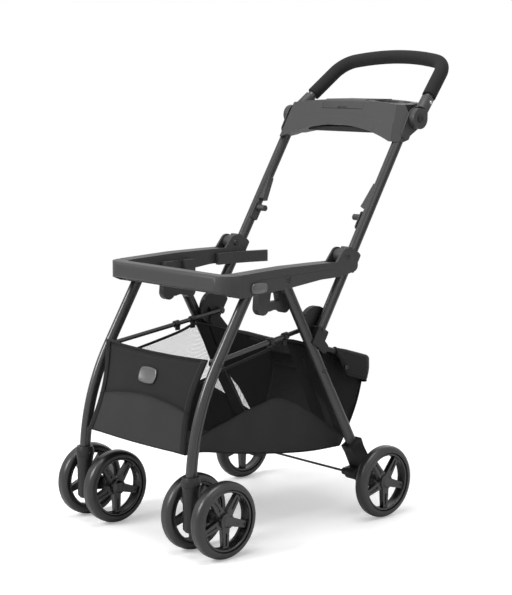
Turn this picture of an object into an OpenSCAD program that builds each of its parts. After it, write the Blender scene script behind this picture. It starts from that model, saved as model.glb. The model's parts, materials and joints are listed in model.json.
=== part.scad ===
// Car seat stroller frame: a folding carriage that carries a separate infant seat.
// Front is -Y, up is +Z, and the floor is Z = 0. Side view places are given as
// distance behind the front axle line and height above the floor.

/* [Wheels] */
// Outer diameter of every tyre
wheel_d = 160; // [150:1:168]
// Width of a front tyre
front_tyre_w = 32; // [26:1:36]
// Width of a rear tyre
rear_tyre_w = 28; // [22:1:34]
// Radial height of the tyre section
tyre_h = 15; // [11:1:18]
// Distance between the front and rear axles
wheelbase = 463; // [450:1:480]
// Distance of each rear wheel's middle from the centre plane
rear_wheel_x = 233; // [229:1:240]
// Distance between the middles of a front wheel pair
pair_gap = 94; // [92:1:104]
// Distance of the front axle behind its swivel axis
caster_trail = 46; // [40:1:52]
// Number of spokes in a rim
spokes = 5; // [4:1:6]
// Diameter of the wheel axles
axle_d = 10; // [8:0.5:11]

/* [Tubes] */
// Distance of each tube's middle from the centre plane
side_x = 180; // [178:1:184]
// Tube section across the frame
tube_w = 18; // [16:0.5:18.5]
// Tube section in the side plane
tube_d = 25; // [22:0.5:26]
// Wall of the tubes
tube_wall = 1.6; // [1:0.1:2.5]
// Width of the groove along each tube flank
groove_w = 3; // [2:0.5:4]
// Lean of the push tubes and the upper front legs from the vertical, in degrees
push_lean = 31.1; // [30.6:0.1:31.6]
// Distance of the push tube's middle behind the fold pivot
pivot_off = 25; // [24:0.5:27]
// Bend radius of the front legs
leg_bend_r = 480; // [460:5:500]

/* [Tray] */
// Height of the tray's top edge at the front
tray_top = 569; // [566:1:573]
// Place of the front bow's face behind the front axle
bow_y = 28; // [22:1:34]
// Radius of the tray's front corners
corner_r = 44; // [36:1:52]
// Distance of the arms' outer faces from the tube middle
arm_out = 19; // [18.5:0.5:22]
// Distance of the arms' inner faces from the tube middle
arm_in = 17; // [16.5:0.5:18]
// Wall of the tray mouldings
tray_wall = 4; // [3:0.5:4.5]
// Diameter of the pivot rivets
rivet_d = 8; // [6:0.5:9]

/* [Console] */
// Bore of the two cup holders
cup_d = 74; // [68:1:78]
// Depth of the cup holders
cup_depth = 44; // [36:1:46]
// Width of the lid over the middle compartment
lid_w = 128; // [110:2:132]
// Distance of the cup holders from the centre plane
cup_x = 108; // [106:1:114]
// Width of the fold trigger
trigger_w = 204; // [160:2:208]
// Stroke of the fold trigger
trigger_stroke = 10; // [6:0.5:12]

/* [Handle] */
// Diameter of the handle tube
bow_d = 22; // [20:0.5:24]
// Thickness of the foam grip
foam_t = 5; // [3:0.5:6]
// Reach of the handle's middle from its pivot
bow_reach = 203; // [196:1:210]
// Height of the foam's ends above the handle's pivot
grip_low = 70; // [60:1:110]
// Diameter of the handle's push buttons
button_d = 19; // [14:0.5:22]
// Stroke of a push button
button_stroke = 4; // [2:0.5:5]

/* [Seat holders] */
// Diameter of the seat pegs
peg_d = 14; // [10:0.5:16]
// Length of the seat pegs from the tube
peg_len = 26.5; // [22:0.5:30]

/* [Basket] */
// Height of the basket's floor
basket_floor_z = 205; // [196:1:216]
// Thickness of the basket's cloth and board
cloth_t = 4; // [3:0.5:5]
// Diameter of the bar behind the basket
bar_d = 12; // [10:0.5:13]
// Diameter of the side link rods
link_d = 10; // [8:0.5:10.5]

/* [Hidden] */
$fn = 48;
// Gap between pieces that are fixed to each other
seat_gap = 0.1;
// Gap between a tyre and its rim
tyre_gap = 0.3;
// Radial clearance of a pin in its bore
run_gap = 0.05;
// Clearance between pieces that pass each other
clear = 0.6;

wheel_r = wheel_d / 2;
axle_z = wheel_r;
rim_r = wheel_r - tyre_h;
swivel_y = -caster_trail;

// Pivots in the side view, as [distance behind the front axle, height]
fold_p = [380, 584];
front_p = [116.7, 541];
rear_p = [206, 550];
rear_lean = atan2(wheelbase - rear_p[0], rear_p[1] - axle_z);
rear_len = norm([wheelbase - rear_p[0], rear_p[1] - axle_z]);

// Front leg: a straight upper run, then one bend that ends upright over the swivel
bend_y = swivel_y + leg_bend_r;
leg_end_z = 152;
bend_z = front_p[1] - ((front_p[0] - swivel_y) / sin(push_lean)) * cos(push_lean)
    - leg_bend_r * tan(push_lean / 2);
bend_low = asin((leg_end_z - bend_z) / leg_bend_r);
leg_run = norm([front_p[0] - bend_y + leg_bend_r * cos(push_lean),
    front_p[1] - bend_z - leg_bend_r * sin(push_lean)]);
link_run = 176;

// Push tube, measured along its axis from the level of the fold pivot
tube_low = -185;
tube_high = 345;
console_low = [531, 824];
console_top = [565.5, 909];
hub_p = [35.5, 359];
hub_r = 24;
bow_tilt = 16.8;
bow_tip = hub_p + bow_reach * [sin(bow_tilt), cos(bow_tilt)];
bow_back = fold_p[0] + bow_tip[0] * cos(push_lean) + bow_tip[1] * sin(push_lean) + bow_d / 2 + foam_t;
y_mid = (bow_back - wheel_r) / 2;

// Tray
seam_y = bow_y + corner_r;
arm_x0 = side_x - arm_in;
arm_x1 = side_x + arm_out;
// Stations along an arm: [distance, mid height, half height]
arm_st = [[60, tray_top - 24, 24], [206, tray_top - 16.5, 22], [300, tray_top - 11.5, 17],
    [356, tray_top - 11.4, 16.3]];
web_end = 336;

// Casters and wheels
collar_r = 20;
stem_d = 12;
barrel_r = 17;
barrel_top = leg_end_z - 2.6;
fork_w = pair_gap - front_tyre_w - 3;
hub_cap_r = 14;
small_d = rivet_d - 2;

// Rear housings
leg_foot = 55 - rear_len;
catch_run = 238;
house_x0 = side_x - 15;
house_x1 = side_x + 15;

// Push frame details
sleeve_x0 = arm_x0 + tray_wall + 0.5 + clear;
sleeve_x1 = arm_x1 - tray_wall - 1.5 - clear;
plate_x0 = side_x - 22;
plate_x1 = side_x - tube_w / 2 - clear;
bar_p = [70, -191];
bar_x = side_x - 17;
bar_end = [485, 340];
bar_a = [fold_p[0] + bar_p[0] * cos(push_lean) + bar_p[1] * sin(push_lean),
    fold_p[1] - bar_p[0] * sin(push_lean) + bar_p[1] * cos(push_lean)];
bar_slope = atan2(bar_end[1] - bar_a[1], bar_end[0] - bar_a[0]);
bar_run = norm(bar_end - bar_a);
bar_bend = 40;
peg_z = 104;

// Console
console_x = side_x + tube_w / 2 + 2.5;
console_back = 668;
console_mid = cup_x + cup_d / 2 + 7;
lid_z = console_top[1] + 4;
lid_x = lid_w / 2;
lid_lip = console_top[0] + 3;
lid_hinge = [console_back - 10, lid_z - 3.2];
cup_y = 614;
cup_rim = lid_z - 10;
trigger_x = 65;
trigger_y = 561;
trigger_z = 840;
trigger_h = 14;
trigger_t = 16;
rod_d = 5;
rod_run = 15;
// Arch under the console, the raised band over it and the crown of the top
arch_rise = 34;
arch_half = 178;
arch_r = (arch_half * arch_half + arch_rise * arch_rise) / (2 * arch_rise);
arch_top = console_low[1] - 2 + arch_rise;
band_h = 19;
band_rise = 12;
band_step = 1.6;
band_r = (arch_half * arch_half + band_rise * band_rise) / (2 * band_rise);
crown = 12.5;
crown_r = (console_x * console_x + crown * crown) / (2 * crown);
// Slanted corner between the console's front and a side: two points on the front edge and one on the side
corner_a = [console_x - 12.5, console_low[0], console_low[1] - 2];
corner_b = [console_x - 29, console_top[0] - 2, console_top[1] - 5];
corner_side = [console_x, console_low[0] + 14, console_low[1] - 2];
corner_u = (corner_b - corner_a) / norm(corner_b - corner_a);
corner_cross = cross(corner_side - corner_a, corner_u);
corner_n = corner_cross / norm(corner_cross);
corner_v = cross(corner_n, corner_u);
// Back of the console's ends at their lower edge
end_back = console_low[0] + 43;

// Handle bow: arch, corners and legs in its own plane
base_x1 = console_x + 3;
pivot_d = 10;
hub_x1 = base_x1 + 14.5;
button_x0 = base_x1 + 6;
bow_wall = 1.5;
bow_r = 555;
bow_corner = 55;
bow_flare = 12;
bow_in = 65;
// Angle left free at each end of the arch, under 0.03 mm long
bow_slit = 0.003;
bow_a = asin((side_x - bow_in) / (bow_r - bow_corner));
corner_c = [side_x - bow_in, bow_reach - bow_r + (bow_r - bow_corner) * cos(bow_a)];
leg_top = corner_c + bow_corner * [cos(bow_flare), sin(bow_flare)];
leg_low = 27;

// Basket and side links
basket_w1 = side_x - 30.4;
clip_at = [0.57, 0.72];
clip_low = 401;

// Side link ends: [x, distance, height]
link_a = [side_x - 14.5, front_p[0] - link_run * sin(push_lean), front_p[1] - link_run * cos(push_lean)];
link_b = [side_x - 31.5, 322, 433];
link_v = link_b - link_a;

// Brake shaft in the rear leg's own frame
brake_p = [-28, 32 - rear_len];
brake_d = 5;

graphite = [0.28, 0.29, 0.30];
gunmetal = [0.36, 0.37, 0.39];
black = [0.10, 0.10, 0.11];
charcoal = [0.17, 0.17, 0.18];
steel = [0.66, 0.66, 0.67];

// Places the side view on the part's own origin, under the middle of its box
module left() { translate([0, -y_mid, 0]) children(); }
module right() { mirror([1, 0, 0]) left() children(); }
module pair() { left() children(); right() children(); }

// Frames of the three leaning tubes, with Z along the tube
module push_frame() { translate([0, fold_p[0], fold_p[1]]) rotate([-push_lean, 0, 0]) children(); }
module front_frame() { translate([0, front_p[0], front_p[1]]) rotate([-push_lean, 0, 0]) children(); }
module rear_frame() { translate([0, rear_p[0], rear_p[1]]) rotate([rear_lean, 0, 0]) children(); }

// A side view outline as a slab between two distances from the centre plane
module slab(x0, x1) { translate([x0, 0, 0]) rotate([90, 0, 90]) linear_extrude(x1 - x0) children(); }

// A round bar across the frame
module cross(x0, x1, d, p = [0, 0]) {
    translate([x0, p[0], p[1]]) rotate([0, 90, 0]) cylinder(d = d, h = x1 - x0);
}

// Two circles joined by their outer tangents
module taper2d(a, ra, b, rb) {
    dir = b - a;
    base = atan2(dir[1], dir[0]);
    off = acos((ra - rb) / norm(dir));
    up = [cos(base + off), sin(base + off)];
    dn = [cos(base - off), sin(base - off)];
    translate(a) circle(ra);
    translate(b) circle(rb);
    polygon([a + ra * dn, b + rb * dn, b + rb * up, a + ra * up]);
}

// A square with one radius on its corners
module plate2d(x0, y0, x1, y1, r) {
    translate([x0 + r, y0]) square([x1 - x0 - 2 * r, y1 - y0]);
    translate([x0, y0 + r]) square([x1 - x0, y1 - y0 - 2 * r]);
    for (x = [x0 + r, x1 - r], y = [y0 + r, y1 - r]) translate([x, y]) circle(r);
}

// Oval tube section: depth along X, width along Y
module oval2d(w, d) {
    square([d - w, w], center = true);
    for (s = [-1, 1]) translate([s * (d - w) / 2, 0]) circle(d = w);
}
module tube2d() {
    difference() {
        oval2d(tube_w, tube_d);
        oval2d(tube_w - 2 * tube_wall, tube_d - 2 * tube_wall);
        for (s = [-1, 1]) translate([0, s * tube_w / 2]) square([groove_w, tube_wall], center = true);
    }
}
module tube(z0, z1) { translate([0, 0, z0]) linear_extrude(z1 - z0) rotate(90) tube2d(); }
module tube_hole(z0, z1, gap = seat_gap) {
    translate([0, 0, z0]) linear_extrude(z1 - z0) rotate(90) oval2d(tube_w + 2 * gap, tube_d + 2 * gap);
}

// Tray
module u_plan(inset) {
    x1 = arm_x1 - inset;
    x0 = arm_x0 + inset;
    r_in = max(6, corner_r - 30 + inset);
    difference() {
        union() {
            translate([-x1 + corner_r - inset, bow_y + inset]) square([2 * (x1 - corner_r + inset), corner_r - inset]);
            for (s = [-1, 1]) intersection() {
                translate([s * (x1 - corner_r + inset), seam_y]) circle(corner_r - inset, $fn = 72);
                translate([s > 0 ? 0 : -x1, 0]) square([x1, seam_y]);
            }
        }
        translate([-x0 + r_in, bow_y + 30 - inset]) square([2 * (x0 - r_in), corner_r]);
        for (s = [-1, 1]) translate([s * (x0 - r_in), bow_y + 30 - inset + r_in]) circle(r_in);
        translate([-x0, bow_y + 30 - inset + r_in]) square([2 * x0, corner_r]);
    }
}
module bow_side2d() {
    r = 9;
    translate([bow_y, tray_top - 36 + r]) square([corner_r + 1, 36 - 2 * r]);
    translate([bow_y + r, tray_top - 36]) square([corner_r, 36]);
    for (z = [tray_top - 36 + r, tray_top - r]) translate([bow_y + r, z]) circle(r);
    polygon([[bow_y + r, tray_top - 35], [seam_y + 1, tray_top - 48], [seam_y + 1, tray_top - 20]]);
}
module tray_front() {
    color(graphite) left() difference() {
        intersection() {
            translate([0, 0, tray_top - 60]) linear_extrude(61) u_plan(0);
            slab(-arm_x1 - 1, arm_x1 + 1) bow_side2d();
        }
        translate([0, 0, tray_top - 60]) linear_extrude(60 - tray_wall) u_plan(tray_wall);
    }
}
module arm_outline2d() {
    for (i = [0 : len(arm_st) - 2])
        taper2d([arm_st[i][0], arm_st[i][1]], arm_st[i][2], [arm_st[i + 1][0], arm_st[i + 1][1]], arm_st[i + 1][2]);
    taper2d([arm_st[3][0], arm_st[3][1]], arm_st[3][2], fold_p, 18);
    taper2d([arm_st[3][0], arm_st[3][1]], arm_st[3][2], [fold_p[0] + 18, fold_p[1] - 21], 14);
    taper2d(fold_p, 18, [fold_p[0] + 18, fold_p[1] - 21], 14);
}
module arm_pocket2d() {
    top = [for (i = [1 : 2]) [arm_st[i][0], arm_st[i][1] + arm_st[i][2] - tray_wall - 1]];
    polygon(concat([[seam_y + 6, tray_top - 90], [seam_y + 6, tray_top - tray_wall - 1.5]], top,
        [[web_end, tray_top + 1], [web_end, tray_top + 60], [fold_p[0] + 60, tray_top + 60],
        [fold_p[0] + 60, tray_top - 90]]));
}
module tray_arm() {
    color(graphite) difference() {
        slab(arm_x0, arm_x1) intersection() {
            arm_outline2d();
            translate([seam_y + seat_gap, tray_top - 100]) square([400, 200]);
        }
        slab(arm_x0 + tray_wall + 0.5, arm_x1 - tray_wall - 1.5) arm_pocket2d();
        for (p = [fold_p, front_p, rear_p]) cross(arm_x0 - 1, arm_x1 + 1, rivet_d + 2 * run_gap, p);
        // Styling groove along the outer face
        translate([arm_x1 - 0.8, 0, 0]) slab(0, 2) polygon([[seam_y + 20, tray_top - 14], [330, tray_top - 8],
            [330, tray_top - 9.4], [seam_y + 20, tray_top - 15.6]]);
    }
}
module tray_arm_left() { left() tray_arm(); }
module tray_arm_right() { right() tray_arm(); }
module tray_ends() {
    color(graphite) pair() translate([0, 0, tray_top - 31]) linear_extrude(26) {
        translate([arm_x0 - 11, 318]) square([11 - seat_gap, 44]);
        taper2d([arm_x0 - 6, 362], 5, [arm_x0 - 13, 405], 5.5);
        taper2d([arm_x0 - 13, 405], 5.5, [arm_x0 - 25, 449], 6);
    }
}
module receiver2d() {
    difference() {
        union() {
            polygon([[158, 558], [244, 558], [244, 500], [238, 480], [160, 480], [152, 505]]);
            taper2d([168, 490], 17, [168, 520], 14);
            taper2d([230, 487], 14, [230, 520], 14);
        }
        translate([199, 455]) circle(27);
        polygon([[186, 500], [213, 500], [209, 519], [190, 519]]);
    }
}
module receiver() {
    x1 = arm_x0 - seat_gap;
    color(graphite) difference() {
        slab(x1 - 16, x1) receiver2d();
        // Guide slot for the seat's hook, open at the top and towards the seat
        translate([x1 - 17, 184, 522]) cube([11, 31, 60]);
        translate([x1 - 17, 156, 503]) cube([5, 22, 30]);
        translate([x1 - 17, 221, 503]) cube([5, 18, 30]);
        // Pocket over the head of the leg rivet
        cross(x1 - 3, x1 + 1, 17, rear_p);
    }
}
module receiver_left() { left() receiver(); }
module receiver_right() { right() receiver(); }
// Rivet through an arm, with a collar on each side of the tube
module arm_rivet(p, collars) {
    in_x = arm_x0 + tray_wall + 0.5;
    out_x = arm_x1 - tray_wall - 1.5;
    cross(arm_x0, arm_x1, rivet_d, p);
    translate([0, p[0], p[1]]) for (s = [[arm_x1, 1], [arm_x0, -1]]) translate([s[0], 0, 0])
        rotate([0, 90 * s[1], 0]) cylinder(d1 = 15, d2 = 10, h = 2.5);
    if (collars) {
        cross(in_x + seat_gap, side_x - tube_w / 2 - seat_gap, 15, p);
        cross(side_x + tube_w / 2 + seat_gap, out_x - seat_gap, 15, p);
    }
}
module arm_rivets() {
    color(steel) pair() {
        arm_rivet(front_p, true);
        arm_rivet(rear_p, true);
        arm_rivet(fold_p, false);
    }
}

// Basket: a cloth bag, open at the top
module basket_shape(t) {
    w1 = basket_w1 - t;
    w0 = basket_w1 - 14 - t;
    hull() {
        // The floor sags and drops towards the rear
        for (p = [[-42 + t, 0], [217, -38], [422 - t, -53]])
            translate([-w0, p[0] - (p[0] > 400 ? 1 : 0), basket_floor_z + p[1] + t]) cube([2 * w0, 1, 1]);
        translate([-w1, 6 + t, 394]) cube([2 * w1, 20, 1 + t]);
        translate([-w1, 217, clip_low + 6]) cube([2 * w1, 1, 1 + t]);
        translate([-w1, 435, 345]) cube([2 * w1, 1, 1 + t]);
        translate([-w1 + 28, bar_end[0] - bar_d / 2 - 1.4 - t, 336]) cube([2 * w1 - 56, 1, 1 + t]);
    }
}
module basket() {
    color(charcoal) left() difference() {
        basket_shape(0);
        basket_shape(cloth_t);
    }
}

// Front legs
module front_leg() {
    color(gunmetal) front_frame() difference() {
        translate([side_x, 0, 0]) {
            tube(-leg_run, 0);
            rotate([90, 0, 90]) linear_extrude(tube_w, center = true) circle(d = tube_d);
            translate([0, leg_bend_r, -leg_run]) rotate([90, 0, 90]) rotate([0, 0, 180])
                rotate_extrude(angle = push_lean - bend_low, $fn = 180) translate([leg_bend_r, 0]) tube2d();
        }
        cross(0, side_x * 2, rivet_d + 2 * run_gap);
        cross(0, side_x * 2, small_d + 2 * run_gap, [0, -link_run]);
    }
}
module front_leg_left() { left() front_leg(); }
module front_leg_right() { right() front_leg(); }
module leg_collar() {
    color(graphite) translate([side_x, swivel_y, 0]) difference() {
        union() {
            translate([0, 0, leg_end_z - 2]) cylinder(r = collar_r, h = 10);
            translate([0, 0, leg_end_z + 8]) cylinder(r1 = collar_r, r2 = collar_r - 3, h = 9);
            translate([0, 0, leg_end_z - 62]) cylinder(d = stem_d, h = 61);
        }
        translate([0, 0.6, leg_end_z - 0.8]) linear_extrude(40) rotate(90) oval2d(tube_w + 0.4, tube_d + 1.8);
    }
}
module leg_collar_left() { left() leg_collar(); }
module leg_collar_right() { right() leg_collar(); }
// Rivet that carries a side link on the inner face of a front leg
module link_rivets() {
    color(steel) pair() translate([0, link_a[1], link_a[2]]) {
        cross(link_a[0] - 4.5, side_x + tube_w / 2, small_d);
        translate([side_x + tube_w / 2, 0, 0]) rotate([0, 90, 0]) cylinder(d1 = 12, d2 = 8, h = 2);
        translate([link_a[0] - 4.5, 0, 0]) rotate([0, -90, 0]) cylinder(d1 = 12, d2 = 8, h = 2);
        cross(link_a[0] + 4 + seat_gap, side_x - tube_w / 2 - seat_gap, 11);
    }
}

// Casters: an upright barrel on the leg's stem, and a trailing fork between the wheels
module caster() {
    color(graphite) translate([side_x, 0, 0]) difference() {
        union() {
            translate([0, swivel_y, 60]) cylinder(r = barrel_r, h = barrel_top - 60);
            translate([0, swivel_y, 54]) cylinder(r1 = barrel_r - 5, r2 = barrel_r, h = 6);
            translate([0, swivel_y, barrel_top - 14]) cylinder(r1 = barrel_r, r2 = barrel_r + 2, h = 14);
            slab(-12, 12) taper2d([swivel_y + 2, 88], 15, [0, axle_z], 14);
            slab(-7, 7) taper2d([swivel_y + 6, 112], 9, [-6, axle_z + 4], 9);
            cross(-fork_w / 2, fork_w / 2, 26, [0, axle_z]);
        }
        translate([0, swivel_y, leg_end_z - 64]) cylinder(d = stem_d + 2 * run_gap, h = 100);
        cross(-fork_w, fork_w, axle_d + 2 * run_gap, [0, axle_z]);
    }
}
module caster_left() { left() caster(); }
module caster_right() { right() caster(); }
module caster_axle() {
    reach = pair_gap / 2 + front_tyre_w / 2 - 5;
    color(steel) cross(side_x - reach, side_x + reach, axle_d, [0, axle_z]);
}
module caster_axle_left() { left() caster_axle(); }
module caster_axle_right() { right() caster_axle(); }

// Wheels, drawn about X with the outer face towards +X
module tyre(w) {
    r = min(w / 2 - 3, tyre_h - 3);
    color(black) rotate([0, 90, 0]) difference() {
        rotate_extrude($fn = 120) {
            translate([0, -w / 2 + r]) square([wheel_r, w - 2 * r]);
            translate([0, -w / 2]) square([wheel_r - r, w]);
            for (s = [-1, 1]) translate([wheel_r - r, s * (w / 2 - r)]) circle(r);
        }
        cylinder(r = rim_r + tyre_gap, h = 2 * w, center = true, $fn = 120);
    }
}
module star2d(r_out, r_in) {
    polygon([for (i = [0 : 2 * spokes - 1]) let (r = i % 2 == 0 ? r_out : r_in)
        r * [cos(i * 180 / spokes), sin(i * 180 / spokes)]]);
}
module rim(w) {
    color(black) rotate([0, 90, 0]) difference() {
        union() {
            // Rim barrel with a bead on both edges
            rotate_extrude($fn = 120) {
                translate([rim_r - 5, -w / 2 + 4]) square([5, w - 8]);
                for (s = [-1, 1]) translate([rim_r - 3.5, s * (w / 2 - 4.5)]) circle(3);
            }
            translate([0, 0, -3]) linear_extrude(11) for (i = [0 : spokes - 1])
                rotate(i * 360 / spokes) polygon([[0, -10.5], [rim_r - 3, -6.5], [rim_r - 3, 6.5], [0, 10.5]]);
            translate([0, 0, -3]) linear_extrude(8) star2d(34, 19);
            cylinder(r = hub_cap_r + 3, h = w - 6, center = true);
            // Domed hub cap
            translate([0, 0, w / 2 - 3]) cylinder(r1 = hub_cap_r, r2 = hub_cap_r - 4, h = 4);
        }
        // A groove along the face of each spoke
        translate([0, 0, 6]) linear_extrude(9) for (i = [0 : spokes - 1])
            rotate(i * 360 / spokes) polygon([[27, -2.6], [rim_r - 12, -1.8], [rim_r - 12, 1.8], [27, 2.6]]);
        translate([0, 0, -w]) cylinder(d = axle_d + 2 * run_gap, h = w + w / 2 - 4);
    }
}
module front_place(s) { translate([side_x + s * pair_gap / 2, 0, axle_z]) mirror([s > 0 ? 0 : 1, 0, 0]) children(); }
module front_rim_left_outer() { left() front_place(1) rim(front_tyre_w); }
module front_rim_left_inner() { left() front_place(-1) rim(front_tyre_w); }
module front_rim_right_outer() { right() front_place(1) rim(front_tyre_w); }
module front_rim_right_inner() { right() front_place(-1) rim(front_tyre_w); }
module front_tyre_left_outer() { left() front_place(1) tyre(front_tyre_w); }
module front_tyre_left_inner() { left() front_place(-1) tyre(front_tyre_w); }
module front_tyre_right_outer() { right() front_place(1) tyre(front_tyre_w); }
module front_tyre_right_inner() { right() front_place(-1) tyre(front_tyre_w); }
module rear_place() { translate([rear_wheel_x, wheelbase, axle_z]) children(); }
module rear_rim_left() { left() rear_place() rim(rear_tyre_w); }
module rear_rim_right() { right() rear_place() rim(rear_tyre_w); }
module rear_tyre_left() { left() rear_place() tyre(rear_tyre_w); }
module rear_tyre_right() { right() rear_place() tyre(rear_tyre_w); }

// Rear legs
module rear_leg() {
    color(gunmetal) rear_frame() difference() {
        translate([side_x, 0, 0]) {
            tube(leg_foot, 0);
            rotate([90, 0, 90]) linear_extrude(tube_w, center = true) circle(d = tube_d);
        }
        cross(0, side_x * 2, rivet_d + 2 * run_gap);
        cross(0, side_x * 2, small_d + 2 * run_gap, [0, -catch_run]);
    }
}
module rear_leg_left() { left() rear_leg(); }
module rear_leg_right() { right() rear_leg(); }
module leg_rivets() {
    color(steel) pair() rear_frame() {
        cross(side_x - tube_w / 2, side_x + tube_w / 2, small_d, [0, -catch_run]);
        translate([side_x + tube_w / 2, 0, -catch_run]) rotate([0, 90, 0]) cylinder(d1 = 12, d2 = 8, h = 2);
    }
}
module rear_housing() {
    lip = rear_len - 100;
    boss = rear_wheel_x - rear_tyre_w / 2 - 1;
    color(graphite) rear_frame() difference() {
        union() {
            slab(house_x0, house_x1) {
                taper2d([0, -lip - 20], 17, [0, -rear_len], 20);
                taper2d(brake_p, 13, [0, -rear_len + 22], 18);
                polygon([[-17, -lip - 20], [17, -lip - 20], [18.5, -lip - 6], [18.5, -lip], [-18.5, -lip],
                    [-18.5, -lip - 6]]);
            }
            cross(house_x1 - 1, boss, 26, [0, -rear_len]);
        }
        translate([side_x, 0, 0]) tube_hole(leg_foot - seat_gap, 0);
        cross(house_x0 - 1, boss + 1, axle_d + 2 * run_gap, [0, -rear_len]);
        cross(house_x0 - 1, house_x1 - 6, brake_d + 2 * run_gap, brake_p);
    }
}
module rear_housing_left() { left() rear_housing(); }
module rear_housing_right() { right() rear_housing(); }
module rear_axles() {
    color(steel) pair() {
        cross(house_x0, rear_wheel_x + rear_tyre_w / 2 - 5, axle_d, [wheelbase, axle_z]);
        translate([house_x0, wheelbase, axle_z]) rotate([0, -90, 0]) cylinder(d1 = 16, d2 = 12, h = 2.5);
    }
}
module brake_rod() {
    reach = house_x1 - 7;
    color(steel) left() rear_frame() cross(-reach, reach, brake_d, brake_p);
}
module brake_pedals() {
    x1 = house_x0 - 0.8;
    color(graphite) pair() rear_frame() difference() {
        union() {
            slab(x1 - 14, x1) translate(brake_p) circle(8);
            slab(x1 - 14, x1 - 3) taper2d(brake_p, 8, brake_p + [55, -22], 6);
            slab(x1 - 38, x1 - 3) taper2d(brake_p + [50, -20], 5, brake_p + [70, -28], 5);
        }
        cross(x1 - 40, x1 + 1, brake_d + 2 * seat_gap, brake_p);
    }
}

// Push frame
module push_tube() { color(gunmetal) push_frame() translate([side_x, pivot_off, 0]) tube(tube_low, tube_high); }
module push_tube_left() { left() push_tube(); }
module push_tube_right() { right() push_tube(); }
module tube_sleeve() {
    back = pivot_off + tube_d / 2 + 4;
    color(graphite) push_frame() difference() {
        slab(sleeve_x0, sleeve_x1) {
            circle(15);
            plate2d(0, -22, back, 24, 5);
            taper2d([0, 0], 15, [back - 10, 16], 9);
        }
        translate([side_x, pivot_off, 0]) tube_hole(-60, 60);
        cross(0, side_x * 2, rivet_d + 2 * run_gap);
    }
}
module tube_sleeve_left() { left() tube_sleeve(); }
module tube_sleeve_right() { right() tube_sleeve(); }
// Foot of a push tube: a half-moon plate inside the frame, a block that holds the tube's end and bears on
// the rear leg, and the socket of the basket bar
module tube_foot() {
    block_x0 = side_x - tube_w / 2 - 4;
    block_x1 = side_x + tube_w / 2 + 3;
    color(graphite) difference() {
        push_frame() difference() {
            union() {
                slab(plate_x0, plate_x1) intersection() {
                    translate([18, -158]) circle(40);
                    translate([-40, -200]) square([pivot_off + tube_d / 2 + 43, 100]);
                }
                slab(plate_x0 - 3, plate_x1) taper2d([pivot_off + 2, -182], 15, bar_p, 11);
                slab(block_x0, block_x1)
                    plate2d(pivot_off - tube_d / 2 - 3.5, tube_low - 19, pivot_off + tube_d / 2 + 4, -162, 4);
            }
            translate([side_x, pivot_off, 0]) tube_hole(tube_low - seat_gap, 0);
            // Cut-out low in the half-moon plate
            slab(plate_x0 - 1, plate_x0 + 5) taper2d([0, -172], 6, [12, -180], 6);
        }
        // The rear leg lies in front of the foot
        rear_frame() translate([side_x - tube_w / 2 - clear, -90, -420])
            cube([tube_w + 2 * clear, 90 + tube_d / 2 + clear, 420]);
        bar_frame() translate([bar_x, -4 - seat_gap, 0]) rotate([-90, 0, 0])
            cylinder(d = bar_d + 2 * seat_gap, h = 40);
    }
}
module tube_foot_left() { left() tube_foot(); }
module tube_foot_right() { right() tube_foot(); }
// U bar that holds the basket's rear edge
module bar_frame() { translate([0, bar_a[0], bar_a[1]]) rotate([bar_slope, 0, 0]) children(); }
module basket_bar() {
    color(black) left() bar_frame() {
        for (s = [-1, 1]) {
            translate([s * bar_x, -4, 0]) rotate([-90, 0, 0]) cylinder(d = bar_d, h = bar_run - bar_bend + 4);
            translate([s * (bar_x - bar_bend), bar_run - bar_bend, 0]) rotate([0, 0, s > 0 ? 0 : 90])
                rotate_extrude(angle = 90, $fn = 72) translate([bar_bend, 0]) circle(d = bar_d);
        }
        cross(bar_bend - bar_x, bar_x - bar_bend, bar_d, [bar_run, 0]);
    }
}
module seat_pegs() {
    x1 = side_x - tube_w / 2 - seat_gap;
    color(graphite) pair() push_frame() translate([0, pivot_off, peg_z]) {
        cross(x1 - peg_len, x1, peg_d);
        slab(x1 - 3, x1) plate2d(-11, -30, 11, 12, 5);
    }
}
module seat_catches() {
    x1 = side_x - tube_w / 2 - seat_gap;
    color(graphite) pair() push_frame() translate([0, pivot_off + 8, peg_z + peg_d / 2]) rotate([90, 0, 0])
        linear_extrude(16) polygon([[x1, 14], [x1 - 14, 16], [x1 - 12, 24], [x1 - 3, 74], [x1, 74]]);
}

// Console with two cup holders and a lidded compartment, arched underneath
module console_side2d(inset = 0) {
    polygon([console_low + [inset, 0], console_top + [inset, 0], [console_top[0] + 8 + inset, lid_z],
        [console_back, lid_z], [console_back + 2, lid_z - 16], [console_back - 13, console_low[1] + 25],
        [console_low[0] + 29, console_low[1] - 2]]);
}
// A round bar from front to back with its top at height z, used for the arch, the band and the crown
module barrel(r, z) {
    translate([0, console_low[0] - 40, z - r]) rotate([-90, 0, 0]) cylinder(r = r, h = 240, $fn = 720);
}
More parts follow.
